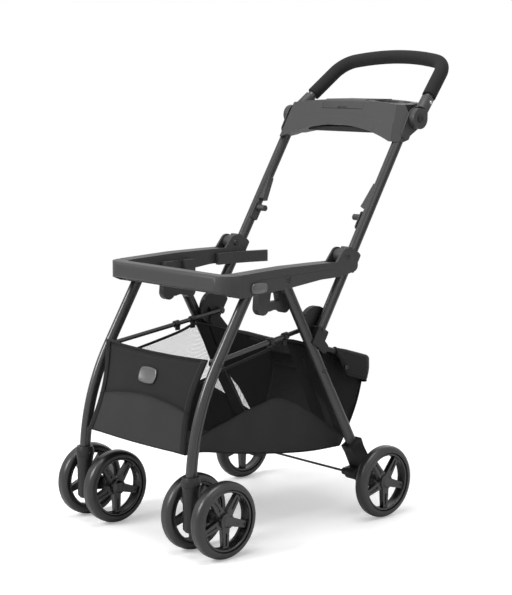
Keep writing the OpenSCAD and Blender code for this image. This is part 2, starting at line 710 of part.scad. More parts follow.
// All that lies outside a slanted front corner
module corner_cut() {
    multmatrix([for (i = [0 : 2]) [corner_v[i], corner_n[i], corner_u[i], corner_a[i]]])
        translate([-60, 0, -60]) cube([120, 60, 220]);
}
module console() {
    color(graphite) left() difference() {
        intersection() {
            union() {
                slab(-console_x, console_x) console_side2d(band_step);
                // Raised band along the arch
                intersection() {
                    slab(-console_x, console_x) console_side2d();
                    barrel(band_r, arch_top + band_h);
                }
            }
            barrel(crown_r, lid_z);
        }
        barrel(arch_r, arch_top);
        for (m = [0, 1]) mirror([m, 0, 0]) {
            corner_cut();
            // Each end is no deeper than its tube needs, and low behind the tube, for the tilting handle
            slab(console_mid, console_x + 9) polygon([[end_back - 6, console_low[1] - 12],
                [end_back + 60, console_low[1] + 98], [console_back + 30, console_low[1] + 98],
                [console_back + 30, console_low[1] - 12]]);
            translate([console_x - 23.5, end_back + 6, console_low[1] + 52]) cube([60, 140, 90]);
        }
        for (s = [-1, 1]) translate([s * cup_x, cup_y, cup_rim]) {
            translate([0, 0, -cup_depth]) cylinder(d = cup_d, h = 90);
            cylinder(d = cup_d + 8, h = 50);
        }
        translate([-lid_x + 5, lid_lip + 14, lid_z - 44]) cube([lid_w - 10, lid_hinge[0] - lid_lip - 24, 60]);
        // Seat of the lid, of its front lip and of its hinge
        translate([-lid_x - clear, lid_lip - 20, lid_z - 4.2])
            cube([lid_w + 2 * clear, lid_hinge[0] + 24 - lid_lip, 20]);
        translate([-lid_x - clear, lid_lip - 30, lid_z - 21]) cube([lid_w + 2 * clear, 34 + clear, 40]);
        cross(-lid_x - clear, lid_x + clear, 14, lid_hinge);
        cross(-lid_x - 4.5, lid_x + 4.5, 3 + 2 * run_gap, lid_hinge);
        for (s = [-1, 1]) push_frame() translate([s * side_x, pivot_off, 0]) tube_hole(0, tube_high + seat_gap);
        // Pocket of the fold trigger and the bores of its two rods
        translate([-trigger_w / 2 - clear, trigger_y - trigger_t / 2 - clear, trigger_z - 20])
            cube([trigger_w + 2 * clear, trigger_t + 2 * clear, trigger_h + trigger_stroke + 21]);
        for (s = [-1, 1]) translate([s * trigger_x, trigger_y, trigger_z])
            cylinder(d = rod_d + 2 * run_gap, h = trigger_h + rod_run + trigger_stroke + 2);
    }
}
// Place of the console's upper front face at height z
function face_y(z) = console_low[0] + band_step
    + (z - console_low[1]) * (console_top[0] - console_low[0]) / (console_top[1] - console_low[1]);
module console_lid() {
    lip_z = lid_z - 20;
    lip_t = 3.6;
    color(graphite) left() difference() {
        union() {
            translate([-lid_x, lid_lip + 8, lid_z - lip_t]) cube([lid_w, lid_hinge[0] - lid_lip - 8, 4]);
            slab(-lid_x, lid_x) polygon([[face_y(lip_z), lip_z], [face_y(console_top[1]), console_top[1]],
                [face_y(console_top[1]) + 8, lid_z + 0.4], [lid_lip + 9, lid_z + 0.4], [lid_lip + 9, lid_z - lip_t],
                [lid_lip + 4, lid_z - lip_t], [lid_lip + 3, lip_z]]);
            cross(-lid_x, lid_x, 5.4, lid_hinge);
            cross(-lid_x - 4, lid_x + 4, 3, lid_hinge);
        }
        // Thumb recess in the middle of the lip
        translate([-15, face_y(lip_z) - 4, lip_z - 1]) cube([30, 6.5, 6]);
    }
}
module fold_trigger() {
    color(black) left() translate([0, trigger_y, trigger_z]) {
        slab(-trigger_w / 2, trigger_w / 2) plate2d(-trigger_t / 2, 0, trigger_t / 2, trigger_h, 4);
        for (s = [-1, 1]) translate([s * trigger_x, 0, trigger_h - 2]) cylinder(d = rod_d, h = rod_run + 2);
    }
}

// Handle
module hub_frame() { push_frame() translate([0, hub_p[0], hub_p[1]]) children(); }
module bow_frame() { hub_frame() rotate([-bow_tilt, 0, 0]) children(); }
module handle_bases() {
    x0 = console_x + seat_gap;
    color(graphite) pair() push_frame() {
        slab(x0, base_x1) taper2d([pivot_off, hub_p[1] - 44], 12, hub_p, hub_r);
        cross(base_x1 - 1, base_x1 + 4, pivot_d, hub_p);
    }
}
module ring2d(d, bore) {
    difference() {
        circle(d = d);
        if (bore > 0) circle(d = bore);
    }
}
module bow_leg(d, bore, low, high) {
    translate([leg_top[0] + (leg_top[1] - low) * tan(bow_flare), 0, low]) rotate([0, -bow_flare, 0])
        linear_extrude((high - low) / cos(bow_flare)) ring2d(d, bore);
}
// The bow's line: a wide arch, two corners and two flared legs, as one round tube
module bow_line(d, bore, low) {
    rotate([90, 0, 0]) translate([0, bow_reach - bow_r, 0]) rotate(90 - bow_a + bow_slit)
        rotate_extrude(angle = 2 * (bow_a - bow_slit), $fn = 240) translate([bow_r, 0]) ring2d(d, bore);
    for (m = [0, 1]) mirror([m, 0, 0]) {
        rotate([90, 0, 0]) translate(corner_c) rotate(bow_flare) {
            rotate_extrude(angle = 90 - bow_a - bow_flare, $fn = 96) translate([bow_corner, 0]) ring2d(d, bore);
            translate([bow_corner, 0, 0]) rotate([90, 0, 0])
                linear_extrude((leg_top[1] - low) / cos(bow_flare)) ring2d(d, bore);
        }
    }
}
module handle_bow() { color(gunmetal) left() bow_frame() bow_line(bow_d, bow_d - 2 * bow_wall, leg_low); }
module handle_grip() {
    color(black) left() bow_frame() bow_line(bow_d + 2 * foam_t, bow_d + 2 * seat_gap, grip_low);
}
module handle_hubs() {
    x0 = base_x1 + clear;
    color(graphite) pair() difference() {
        bow_frame() {
            slab(x0, hub_x1) taper2d([0, 0], hub_r - 1, [0, leg_low - 12], 12);
            bow_leg(bow_d - 2 * bow_wall - 2 * seat_gap, 0, 12, leg_low + 28);
            bow_leg(bow_d + 7, bow_d + 2 * seat_gap, leg_low - 3, grip_low - 8);
        }
        hub_frame() {
            cross(x0 - 1, base_x1 + 4.5, pivot_d + 2 * run_gap);
            cross(button_x0, hub_x1 + 1, button_d + 2 * run_gap);
            cross(side_x, x0, 2 * (hub_r + clear));
        }
    }
}
module handle_button() {
    color(black) hub_frame() {
        cross(button_x0 + button_stroke + 0.5, hub_x1 + 1.5, button_d);
        translate([hub_x1 + 1.5, 0, 0]) rotate([0, 90, 0]) cylinder(d1 = button_d, d2 = button_d - 4, h = 1.5);
    }
}
module handle_button_left() { left() handle_button(); }
module handle_button_right() { right() handle_button(); }

// Side links: rods from the front legs to the half-moon plates
module along_link(t) {
    translate(link_a + t * link_v) rotate([0, acos(link_v[2] / norm(link_v)), atan2(link_v[1], link_v[0])]) children();
}
module side_link() {
    color(gunmetal) difference() {
        union() {
            along_link(0) translate([0, 0, 7]) cylinder(d = link_d, h = norm(link_v) - 7);
            translate(link_a - [4, 0, 0]) cross(0, 8, 16);
            translate(link_b - [4, 0, 0]) cross(0, 8, 15);
            translate(link_b - [6, 0, 0]) cross(0, 3, 9);
        }
        translate([0, link_a[1], link_a[2]]) cross(0, side_x, small_d + 2 * run_gap);
    }
}
module side_link_left() { left() side_link(); }
module side_link_right() { right() side_link(); }
module link_clips() {
    color(black) pair() difference() {
        for (t = clip_at) {
            along_link(t) translate([0, 0, -6]) cylinder(d = link_d + 6, h = 12);
            translate([basket_w1 + 0.4, link_a[1] + t * link_v[1] - 6, clip_low]) cube([3.4, 12, 14]);
        }
        along_link(0) cylinder(d = link_d + 2 * seat_gap, h = norm(link_v));
    }
}

tray_front();
tray_arm_left();
tray_arm_right();
tray_ends();
receiver_left();
receiver_right();
arm_rivets();
basket();
front_leg_left();
front_leg_right();
leg_collar_left();
leg_collar_right();
link_rivets();
caster_left();
caster_right();
caster_axle_left();
caster_axle_right();
front_rim_left_outer();
front_rim_left_inner();
front_rim_right_outer();
front_rim_right_inner();
front_tyre_left_outer();
front_tyre_left_inner();
front_tyre_right_outer();
front_tyre_right_inner();
rear_leg_left();
rear_leg_right();
rear_housing_left();
rear_housing_right();
rear_axles();
leg_rivets();
rear_rim_left();
rear_rim_right();
rear_tyre_left();
rear_tyre_right();
brake_rod();
brake_pedals();
push_tube_left();
push_tube_right();
tube_sleeve_left();
tube_sleeve_right();
tube_foot_left();
tube_foot_right();
basket_bar();
seat_pegs();
seat_catches();
console();
console_lid();
fold_trigger();
handle_bases();
handle_bow();
handle_hubs();
handle_grip();
handle_button_left();
handle_button_right();
side_link_left();
side_link_right();
link_clips();
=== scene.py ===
"""Looks of a folding stroller frame that carries an infant seat."""
import json
import math
from functools import partial

import bmesh
import bpy
from bmesh.types import BMEdge, BMFace, BMVert
from mathutils import Matrix, Vector


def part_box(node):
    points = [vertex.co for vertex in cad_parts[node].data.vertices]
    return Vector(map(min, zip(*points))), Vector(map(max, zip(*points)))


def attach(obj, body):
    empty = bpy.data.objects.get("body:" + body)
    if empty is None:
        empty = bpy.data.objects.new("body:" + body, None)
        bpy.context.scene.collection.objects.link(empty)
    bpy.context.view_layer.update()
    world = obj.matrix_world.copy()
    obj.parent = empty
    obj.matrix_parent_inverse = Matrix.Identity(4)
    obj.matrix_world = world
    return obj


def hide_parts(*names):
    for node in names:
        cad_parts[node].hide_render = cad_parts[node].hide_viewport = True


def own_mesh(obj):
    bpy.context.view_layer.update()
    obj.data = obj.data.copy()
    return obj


bl_info = {
    "name": "Car seat stroller frame",
    "version": (1, 0, 0),
    "blender": (4, 5, 0),
    "location": "View3D > Sidebar > Stroller",
    "description": "Dresses the packed stroller frame with cloth, foam, fasteners and finishes",
    "category": "Object",
}

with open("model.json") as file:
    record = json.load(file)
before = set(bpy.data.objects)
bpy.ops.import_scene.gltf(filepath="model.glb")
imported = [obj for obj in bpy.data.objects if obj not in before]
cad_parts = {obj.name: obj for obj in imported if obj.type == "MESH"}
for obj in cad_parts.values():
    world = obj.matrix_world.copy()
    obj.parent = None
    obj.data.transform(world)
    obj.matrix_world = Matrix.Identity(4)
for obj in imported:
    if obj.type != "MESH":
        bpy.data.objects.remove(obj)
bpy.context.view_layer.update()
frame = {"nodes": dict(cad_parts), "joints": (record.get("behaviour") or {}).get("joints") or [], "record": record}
JOINTS = {joint["name"]: joint for joint in frame["joints"]}
MM = 0.001
UP = Vector((0, 0, 1))
SIDES = ((1, "left"), (-1, "right"))
FOLD = Vector(JOINTS["fold"]["pos_m"])
# Side view millimetres: the fold pivot behind the front axle and above the floor, and the tubes' plane
FOLD_SIDE = (380.0, 584.0)
AXLE_Y = FOLD.y - FOLD_SIDE[0] * MM
SIDE_X = 180.0


def at(x, y, z):
    """A place in side view millimetres: x from the centre plane, y behind the front axle, z up."""
    return Vector((x * MM, AXLE_Y + y * MM, z * MM))


def turned(origin, lean, y, z):
    """A side view place given along and across a line that leans back by lean degrees."""
    a = math.radians(lean)
    return (origin[0] + y * math.cos(a) + z * math.sin(a), origin[1] - y * math.sin(a) + z * math.cos(a))


# Settings that a user would change


def colour(name, description, default):
    """A colour setting."""
    return bpy.props.FloatVectorProperty(
        name=name, description=description, size=3, subtype="COLOR", min=0, max=1, default=default)


def distance(name, description, default, low, high):
    """A length setting, in metres."""
    return bpy.props.FloatProperty(
        name=name, description=description, default=default, min=low, max=high, subtype="DISTANCE",
        unit="LENGTH")


def amount(name, description, default, low=0, high=1):
    """A plain number setting."""
    return bpy.props.FloatProperty(name=name, description=description, default=default, min=low, max=high)


class StageSettings(bpy.types.PropertyGroup):
    """Camera, floor and light"""
    camera_place: bpy.props.FloatVectorProperty(
        name="Camera place", description="Where the camera stands", size=3, subtype="XYZ", unit="LENGTH",
        default=(2.5913, AXLE_Y - 2.0578, 0.9939))
    camera_ahead: bpy.props.FloatVectorProperty(
        name="Camera direction", description="Direction in which the camera looks", size=3,
        subtype="DIRECTION", default=(-0.7327, 0.6652, -0.1449))
    lens: amount("Lens", "Focal length on a 36 mm sensor", 96.73, 20, 300)
    sky_light: amount("Sky light", "Strength of the even white light from all round", 0.40)
    floor_clear: bpy.props.FloatVectorProperty(
        name="Floor fade", description="Distances at which the floor starts and ends fading to plain white",
        size=2, default=(0.60, 1.40), min=0.1, max=12, unit="LENGTH")
    floor_glow: amount("Floor glow", "White added to the floor as the camera sees it", 0.31)
    floor_colour: colour("Floor colour", "Colour of the pale floor", (0.86, 0.86, 0.86))


class FinishSettings(bpy.types.PropertyGroup):
    """Colours of the rigid pieces"""
    moulding: colour("Moulding", "Satin graphite plastic", (0.033, 0.0327, 0.0325))
    black_plastic: colour("Black plastic", "Clips, buttons and trigger", (0.013, 0.013, 0.014))
    tube: colour("Tube", "Gunmetal tube coating", (0.044, 0.0438, 0.0438))
    steel: colour("Rivets", "Dark plated steel of rivets and axles", (0.050, 0.049, 0.048))
    bright: colour("Pins", "Bright steel of the snap pins", (0.45, 0.45, 0.45))
    rim: colour("Rims", "Black wheel plastic", (0.0060, 0.0060, 0.0062))
    tyre: colour("Tyres", "Tyre foam", (0.0065, 0.0064, 0.0063))
    plate: colour("Plates", "Plain plates without any mark", (0.12, 0.12, 0.12))
    edge_round: distance("Edge rounding", "Radius on the edges of the mouldings", 0.0009, 0, 0.003)


class ClothSettings(bpy.types.PropertyGroup):
    """Colours and sizes of the basket and the grip"""
    upper: colour("Dark cloth", "Dark charcoal woven cloth", (0.0095, 0.0090, 0.0098))
    lower: colour("Grey cloth", "Lighter woven cloth low on the panels", (0.024, 0.0235, 0.024))
    net: colour("Net", "Yarn of the see-through net", (0.010, 0.0098, 0.0104))
    binding: colour("Binding", "Edge tape", (0.008, 0.008, 0.0085))
    foam: colour("Foam", "Handle foam", (0.019, 0.019, 0.0195))
    thread: colour("Thread", "Sewing thread along the seams", (0.050, 0.050, 0.052))
    cloth_thickness: distance("Cloth thickness", "Thickness of a woven panel", 0.0012, 0.0005, 0.003)
    net_pitch: distance("Net pitch", "Distance between the holes of the net", 0.0030, 0.001, 0.006)
    net_open: amount("Net opening", "Radius of a hole as a share of the pitch", 0.46, 0.2, 0.49)
    foam_radius: distance("Foam radius", "Outer radius of the foam grip", 0.016, 0.012, 0.018)


# Shared shader groups

WEAVE_CROSSING = 0.35
# Tone from the weave's height: the hollows between the yarns are painted darker, as shade
WEAVE_HOLLOW_SHADE = (0.16, 0.86)
# How fast the painted edge highlight grows as the surface turns
EDGE_HIGHLIGHT_GAIN = 4.0
# Rows added so that the net's row number stays above zero
NET_ROWS = 400.0


def new_group(name, inputs, outputs):
    """A shader group, its maker of math nodes and its two ends; an input is (name, type, default)."""
    group = bpy.data.node_groups.new(name, "ShaderNodeTree")
    for label, kind, default in inputs:
        socket = group.interface.new_socket(label, in_out="INPUT", socket_type="NodeSocket" + kind)
        if default is not None:
            socket.default_value = default
    for label, kind in outputs:
        group.interface.new_socket(label, in_out="OUTPUT", socket_type="NodeSocket" + kind)
    start, end = group.nodes.new("NodeGroupInput"), group.nodes.new("NodeGroupOutput")
    return group, partial(math_node, group), start, end


def join(start, end):
    """Links an output to an input of the same tree."""
    end.id_data.links.new(start, end)


def dial(made, **values):
    """Sets inputs of a node by name, with spaces written as underscores."""
    for key, value in values.items():
        made.inputs[key.replace("_", " ")].default_value = value


def add(tree, kind, **values):
    """A node with its properties set; an input is given as in_NAME or in_NUMBER."""
    made = tree.nodes.new("ShaderNode" + kind)
    for key, value in values.items():
        if key.startswith("in_"):
            slot = key[3:]
            made.inputs[int(slot) if slot.isdigit() else slot.replace("_", " ")].default_value = value
        else:
            setattr(made, key, value)
    return made


def math_node(tree, operation, first, second=None, third=None):
    """A Math node whose inputs are links or numbers."""
    made = add(tree, "Math", operation=operation)
    for index, value in enumerate((first, second, third)):
        if value is None:
            continue
        if isinstance(value, (int, float)):
            made.inputs[index].default_value = value
        else:
            join(value, made.inputs[index])
    return made.outputs[0]


def grain_group():
    """Fine moulded or sprayed grain: a height, a roughness and a soft tone."""
    group, op, start, end = new_group(
        "Surface grain",
        [("Vector", "Vector", None), ("Grain size", "Float", 900.0), ("Patch size", "Float", 14.0),
         ("Roughness", "Float", 0.5), ("Spread", "Float", 0.1), ("Tone", "Float", 0.12)],
        [("Height", "Float"), ("Roughness", "Float"), ("Tone", "Float")])
    fine = add(group, "TexNoise", in_Detail=3.0, in_Roughness=0.65)
    patch = add(group, "TexNoise", in_Detail=4.0, in_Roughness=0.55)
    for texture, size in ((fine, "Grain size"), (patch, "Patch size")):
        join(start.outputs["Vector"], texture.inputs["Vector"])
        join(start.outputs[size], texture.inputs["Scale"])
    join(fine.outputs["Fac"], end.inputs["Height"])
    swing = op("SUBTRACT", patch.outputs["Fac"], 0.5)
    rough = op("MULTIPLY_ADD", swing, start.outputs["Spread"], start.outputs["Roughness"])
    tone = op("MULTIPLY_ADD", swing, start.outputs["Tone"], 1.0)
    join(rough, end.inputs["Roughness"])
    join(tone, end.inputs["Tone"])
    return group


def wear_group():
    """Painted highlight on edges: the tone grows paler where the surface turns sharply."""
    group, op, start, end = new_group(
        "Edge wear", [("Reach", "Float", 0.0012), ("Amount", "Float", 0.6), ("Tone", "Float", 1.0)],
        [("Tone", "Float")])
    soft = add(group, "Bevel", samples=4)
    join(start.outputs["Reach"], soft.inputs["Radius"])
    flat = add(group, "NewGeometry")
    turn = add(group, "VectorMath", operation="DOT_PRODUCT")
    join(soft.outputs[0], turn.inputs[0])
    join(flat.outputs["Normal"], turn.inputs[1])
    sharp = op("SUBTRACT", 1.0, turn.outputs["Value"])
    bend = op("MINIMUM", op("MULTIPLY", sharp, EDGE_HIGHLIGHT_GAIN), 1.0)
    highlighted = op("MULTIPLY_ADD", bend, start.outputs["Amount"], 1.0)
    join(op("MULTIPLY", highlighted, start.outputs["Tone"]), end.inputs["Tone"])
    return group


def weave_group():
    """Plain weave on UV metres: over and under yarns, with painted shade in the hollows between them and slight
    slub in the colour.
    """
    group, op, start, end = new_group(
        "Plain weave",
        [("Vector", "Vector", None), ("Yarn", "Float", 0.0011), ("Slub", "Float", 0.25)],
        [("Height", "Float"), ("Tone", "Float")])
    split = add(group, "SeparateXYZ")
    join(start.outputs["Vector"], split.inputs[0])
    waves = []
    for axis in (0, 1):
        turns = op("DIVIDE", split.outputs[axis], start.outputs["Yarn"])
        waves.append(op("SINE", op("MULTIPLY", turns, math.pi)))
    crossing = op("MULTIPLY", *waves)
    rounds = [op("ABSOLUTE", wave) for wave in waves]
    height = op("MULTIPLY_ADD", crossing, WEAVE_CROSSING, op("MAXIMUM", *rounds))
    slub = add(group, "TexNoise", in_Scale=220.0, in_Detail=2.0)
    join(start.outputs["Vector"], slub.inputs["Vector"])
    swing = op("SUBTRACT", slub.outputs["Fac"], 0.5)
    # Painted shade in the hollows between the yarns, with slub on top
    tone = op("MULTIPLY_ADD", swing, start.outputs["Slub"], op("MULTIPLY_ADD", height, *WEAVE_HOLLOW_SHADE))
    join(height, end.inputs["Height"])
    join(tone, end.inputs["Tone"])
    return group


def net_group():
    """Knitted net on UV metres: staggered round holes between yarns."""
    group, op, start, end = new_group(
        "Knitted net",
        [("Vector", "Vector", None), ("Pitch", "Float", 0.003), ("Hole", "Float", 0.46)],
        [("Mask", "Float"), ("Height", "Float")])
    split = add(group, "SeparateXYZ")
    join(start.outputs["Vector"], split.inputs[0])
    column = op("DIVIDE", split.outputs[0], start.outputs["Pitch"])
    row = op("DIVIDE", split.outputs[1], start.outputs["Pitch"])
    odd = op("MODULO", op("FLOOR", op("ADD", row, NET_ROWS)), 2.0)
    shifted = op("MULTIPLY_ADD", odd, 0.5, column)
    across = op("SUBTRACT", op("FRACT", shifted), 0.5)
    upward = op("SUBTRACT", op("FRACT", row), 0.5)
    squares = [op("MULTIPLY", part, part) for part in (across, upward)]
    far = op("SQRT", op("ADD", *squares))
    mask = op("GREATER_THAN", far, start.outputs["Hole"])
    join(mask, end.inputs["Mask"])
    join(far, end.inputs["Height"])
    return group


# Materials

GROUPS = {}
MATERIALS = {}
GRAIN_DEPTH = 0.0002
YARN_DEPTH = 0.0004


def group_node(tree, name, **values):
    """One of the shared groups, placed in a material with its own values."""
    made = tree.nodes.new("ShaderNodeGroup")
    made.node_tree = GROUPS[name]
    dial(made, **values)
    return made


def tinted(tree, base, tone):
    """A colour multiplied by a tone that changes over the surface."""
    mix = add(tree, "Mix", data_type="RGBA", blend_type="MULTIPLY", in_0=1.0)
    mix.inputs[6].default_value = (*base, 1)
    join(tone, mix.inputs[7])
    return mix.outputs[2]


def new_material(name):
    """A material, its tree and its Principled shader."""
    material = bpy.data.materials.new(name)
    material.use_nodes = True
    shader = material.node_tree.nodes["Principled BSDF"]
    return material, material.node_tree, shader


def bumped(tree, shader, height, strength, depth):
    """Height to the shader's normal."""
    bump = add(tree, "Bump", in_Strength=strength, in_Distance=depth)
    join(height, bump.inputs["Height"])
    join(bump.outputs[0], shader.inputs["Normal"])


def hard_material(name, base, roughness, grain, bump, metallic=0.0, spread=0.12, tone=0.16, specular=0.5,
                  wear=0.0):
    """Plastic, coating or plated metal with its own grain and an optional highlight painted on its edges."""
    material, tree, shader = new_material(name)
    surface = group_node(tree, "grain", Grain_size=grain, Roughness=roughness, Spread=spread, Tone=tone)
    join(add(tree, "TexCoord").outputs["Object"], surface.inputs["Vector"])
    shade = surface.outputs["Tone"]
    # Edges painted paler, as a highlight
    if wear:
        edges = group_node(tree, "wear", Amount=wear)
        join(shade, edges.inputs["Tone"])
        shade = edges.outputs["Tone"]
    join(tinted(tree, base, shade), shader.inputs["Base Color"])
    join(surface.outputs["Roughness"], shader.inputs["Roughness"])
    dial(shader, Metallic=metallic, Specular_IOR_Level=specular)
    bumped(tree, shader, surface.outputs["Height"], bump, GRAIN_DEPTH)
    return material


def cloth_material(name, base, yarn=0.0011, sheen=0.10):
    """Woven polyester on the piece's own UV map, in metres."""
    material, tree, shader = new_material(name)
    weave = group_node(tree, "weave", Yarn=yarn)
    join(add(tree, "UVMap", uv_map="cloth").outputs[0], weave.inputs["Vector"])
    join(tinted(tree, base, weave.outputs["Tone"]), shader.inputs["Base Color"])
    dial(shader, Roughness=0.78, Sheen_Weight=sheen, Sheen_Roughness=0.45, Specular_IOR_Level=0.18)
    bumped(tree, shader, weave.outputs["Height"], 0.5, YARN_DEPTH)
    return material


def net_material(name, base, pitch, hole):
    """Net with open holes, its yarn painted darker towards them as shade."""
    material, tree, shader = new_material(name)
    net = group_node(tree, "net", Pitch=pitch, Hole=hole)
    join(add(tree, "UVMap", uv_map="cloth").outputs[0], net.inputs["Vector"])
    join(net.outputs["Mask"], shader.inputs["Alpha"])
    # The yarn's colour follows its height: painted shade on its rounded edges beside the holes
    join(tinted(tree, base, net.outputs["Height"]), shader.inputs["Base Color"])
    dial(shader, Roughness=0.75, Sheen_Weight=0.08, Specular_IOR_Level=0.18)
    bumped(tree, shader, net.outputs["Height"], 0.4, YARN_DEPTH)
    return material


# Lines that pieces follow


def shares(count, start=0.0, span=1.0):
    """Even steps from start over a span."""
    return [start + span * k / count for k in range(count + 1)]


def swell(share):
    """Nothing at both ends of a run and one in its middle."""
    return math.sin(math.pi * share)


def smooth_path(points, steps=8):
    """A smooth line through points."""
    path = []
    count = len(points)
    for i in range(count - 1):
        p0, p1, p2, p3 = points[max(i - 1, 0)], points[i], points[i + 1], points[min(i + 2, count - 1)]
        for k in range(steps):
            t = k / steps
            path.append(0.5 * (2 * p1 + (p2 - p0) * t + (2 * p0 - 5 * p1 + 4 * p2 - p3) * t * t
                               + (3 * p1 - p0 - 3 * p2 + p3) * t ** 3))
    path.append(points[-1])
    return path


def along(path, share):
    """The point at a share of a path's length."""
    lengths = [0.0]
    for a, b in zip(path, path[1:]):
        lengths.append(lengths[-1] + (b - a).length)
    want = share * lengths[-1]
    for i in range(len(path) - 1):
        if lengths[i + 1] >= want:
            step = lengths[i + 1] - lengths[i] or 1.0
            return path[i].lerp(path[i + 1], (want - lengths[i]) / step)
    return path[-1].copy()


# Making pieces

# Cloth added for seams, and the most of its flat rectangle that a sheet's stated area fills
SEAM_ALLOWANCE, FLAT_FILL = 1.02, 0.999
# Stitches: length, width and pitch, in metres
STITCH_LENGTH, STITCH_WIDE, STITCH_PITCH = 0.0032, 0.0007, 0.0048
STITCH_AHEAD = 0.004
# Steps of a domed head: share of its height, and how much it draws in
DOME_STEPS = ((0.55, 0.0), (0.32, 0.14), (0.13, 0.28))
SOCKET_BORDER = 0.2
PLATE_SQUARE = 0.28


def only(kind, geom):
    """The faces, edges or vertices among what a bmesh operator made."""
    return [made for made in geom if isinstance(made, kind)]


def piece(name, bm, material, body):
    """Turns a bmesh into a piece that rides on a body."""
    mesh = bpy.data.meshes.new(name)
    bm.to_mesh(mesh)
    bm.free()
    made = bpy.data.objects.new(name, mesh)
    bpy.context.scene.collection.objects.link(made)
    mesh.materials.append(MATERIALS[material])
    mesh.shade_smooth()
    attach(made, body)
    return made


def cloth_grid(place, columns, rows, thickness):
    """A grid laid out by place(u, v), with a UV map in metres, and given a thickness."""
    bm = bmesh.new()
    bmesh.ops.create_grid(bm, x_segments=columns, y_segments=rows, size=0.5)
    uv = bm.loops.layers.uv.new("cloth")
    spots = {vert: (vert.co.x + 0.5, vert.co.y + 0.5) for vert in bm.verts}
    steps = shares(8)
    wide = sum((place(b, 0.5) - place(a, 0.5)).length for a, b in zip(steps, steps[1:]))
    tall = sum((place(0.5, b) - place(0.5, a)).length for a, b in zip(steps, steps[1:]))
    for face in bm.faces:
        for loop in face.loops:
            u, v = spots[loop.vert]
            loop[uv].uv = (u * wide, v * tall)
    for vert, (u, v) in spots.items():
        vert.co = place(u, v)
    area = sum(face.calc_area() for face in bm.faces)
    if thickness:
        bmesh.ops.solidify(bm, geom=bm.faces[:], thickness=thickness)
    return bm, wide, tall, area


def cloth_piece(name, place, columns, rows, material, rests_on, body="tray", thickness=0.0,
                held="stretched", trims=()):
    """A sheet of cloth laid out by place, with an optional thickness, that rides on a body."""
    bm, wide, tall, area = cloth_grid(place, columns, rows, thickness)
    made = piece(name, bm, material, body)
    width, length = wide * SEAM_ALLOWANCE, tall * SEAM_ALLOWANCE
    list(rests_on)
    min(area, FLAT_FILL * width * length)
    list(trims)
    return made


def tape(name, points, thick, body="tray"):
    """A rounded tape that follows points, made with a bevelled curve and kept as a mesh."""
    curve = bpy.data.curves.new(name, "CURVE")
    curve.dimensions = "3D"
    curve.bevel_depth = thick / 2
    curve.bevel_resolution = 3
    spline = curve.splines.new("POLY")
    spline.points.add(len(points) - 1)
    for spot, point in zip(spline.points, points):
        spot.co = (*point, 1)
    curve.use_fill_caps = True
    holder = bpy.data.objects.new(name + "_path", curve)
    bpy.context.scene.collection.objects.link(holder)
    graph = bpy.context.evaluated_depsgraph_get()
    mesh = bpy.data.meshes.new_from_object(holder.evaluated_get(graph))
    bpy.data.objects.remove(holder)
    bpy.data.curves.remove(curve)
    bm = bmesh.new()
    bm.from_mesh(mesh)
    bpy.data.meshes.remove(mesh)
    bmesh.ops.remove_doubles(bm, verts=bm.verts[:], dist=1e-6)
    bmesh.ops.recalc_face_normals(bm, faces=bm.faces[:])
    uv = bm.loops.layers.uv.new("cloth")
    for face in bm.faces:
        for loop in face.loops:
            loop[uv].uv = (loop.vert.co.x + loop.vert.co.z, loop.vert.co.y)
    return piece(name, bm, "binding", body)


def stitches(name, points, body="tray"):
    """A row of short raised stitches along points."""
    total = sum((b - a).length for a, b in zip(points, points[1:]))
    shape = Matrix.Diagonal((STITCH_WIDE, STITCH_WIDE, STITCH_LENGTH, 1))
    bm = bmesh.new()
    for k in range(1, int(total / STITCH_PITCH)):
        share = k * STITCH_PITCH / total
        ahead = along(points, min(1.0, share + STITCH_AHEAD)) - along(points, share - STITCH_AHEAD)
        made = bmesh.ops.create_uvsphere(bm, u_segments=6, v_segments=4, radius=0.5)["verts"]
        turn = UP.rotation_difference(ahead.normalized()).to_matrix().to_4x4()
        bmesh.ops.transform(bm, matrix=Matrix.Translation(along(points, share)) @ turn @ shape, verts=made)
    bm.loops.layers.uv.new("cloth")
    return piece(name, bm, "thread", body)


def dome(name, place, out, size, body, material="steel", socket=0.0):
    """A domed fastener head of (radius, height), with an optional round socket."""
    radius, height = size
    bm = bmesh.new()
    bmesh.ops.create_circle(bm, cap_ends=True, segments=20, radius=radius)
    top = bm.faces[:]
    for lift, shrink in DOME_STEPS:
        made = bmesh.ops.extrude_face_region(bm, geom=top)["geom"]
        top, verts = only(BMFace, made), only(BMVert, made)
        bmesh.ops.translate(bm, verts=verts, vec=(0, 0, lift * height))
        if shrink:
            bmesh.ops.scale(bm, verts=verts, vec=(1 - shrink, 1 - shrink, 1))
    if socket:
        bmesh.ops.inset_region(bm, faces=top, thickness=radius * SOCKET_BORDER)
        made = bmesh.ops.extrude_face_region(bm, geom=top)["geom"]
        bmesh.ops.translate(bm, verts=only(BMVert, made), vec=(0, 0, -socket))
    bmesh.ops.recalc_face_normals(bm, faces=bm.faces[:])
    turn = UP.rotation_difference(out).to_matrix().to_4x4()
    bmesh.ops.transform(bm, matrix=Matrix.Translation(place) @ turn, verts=bm.verts[:])
    return piece(name, bm, material, body)


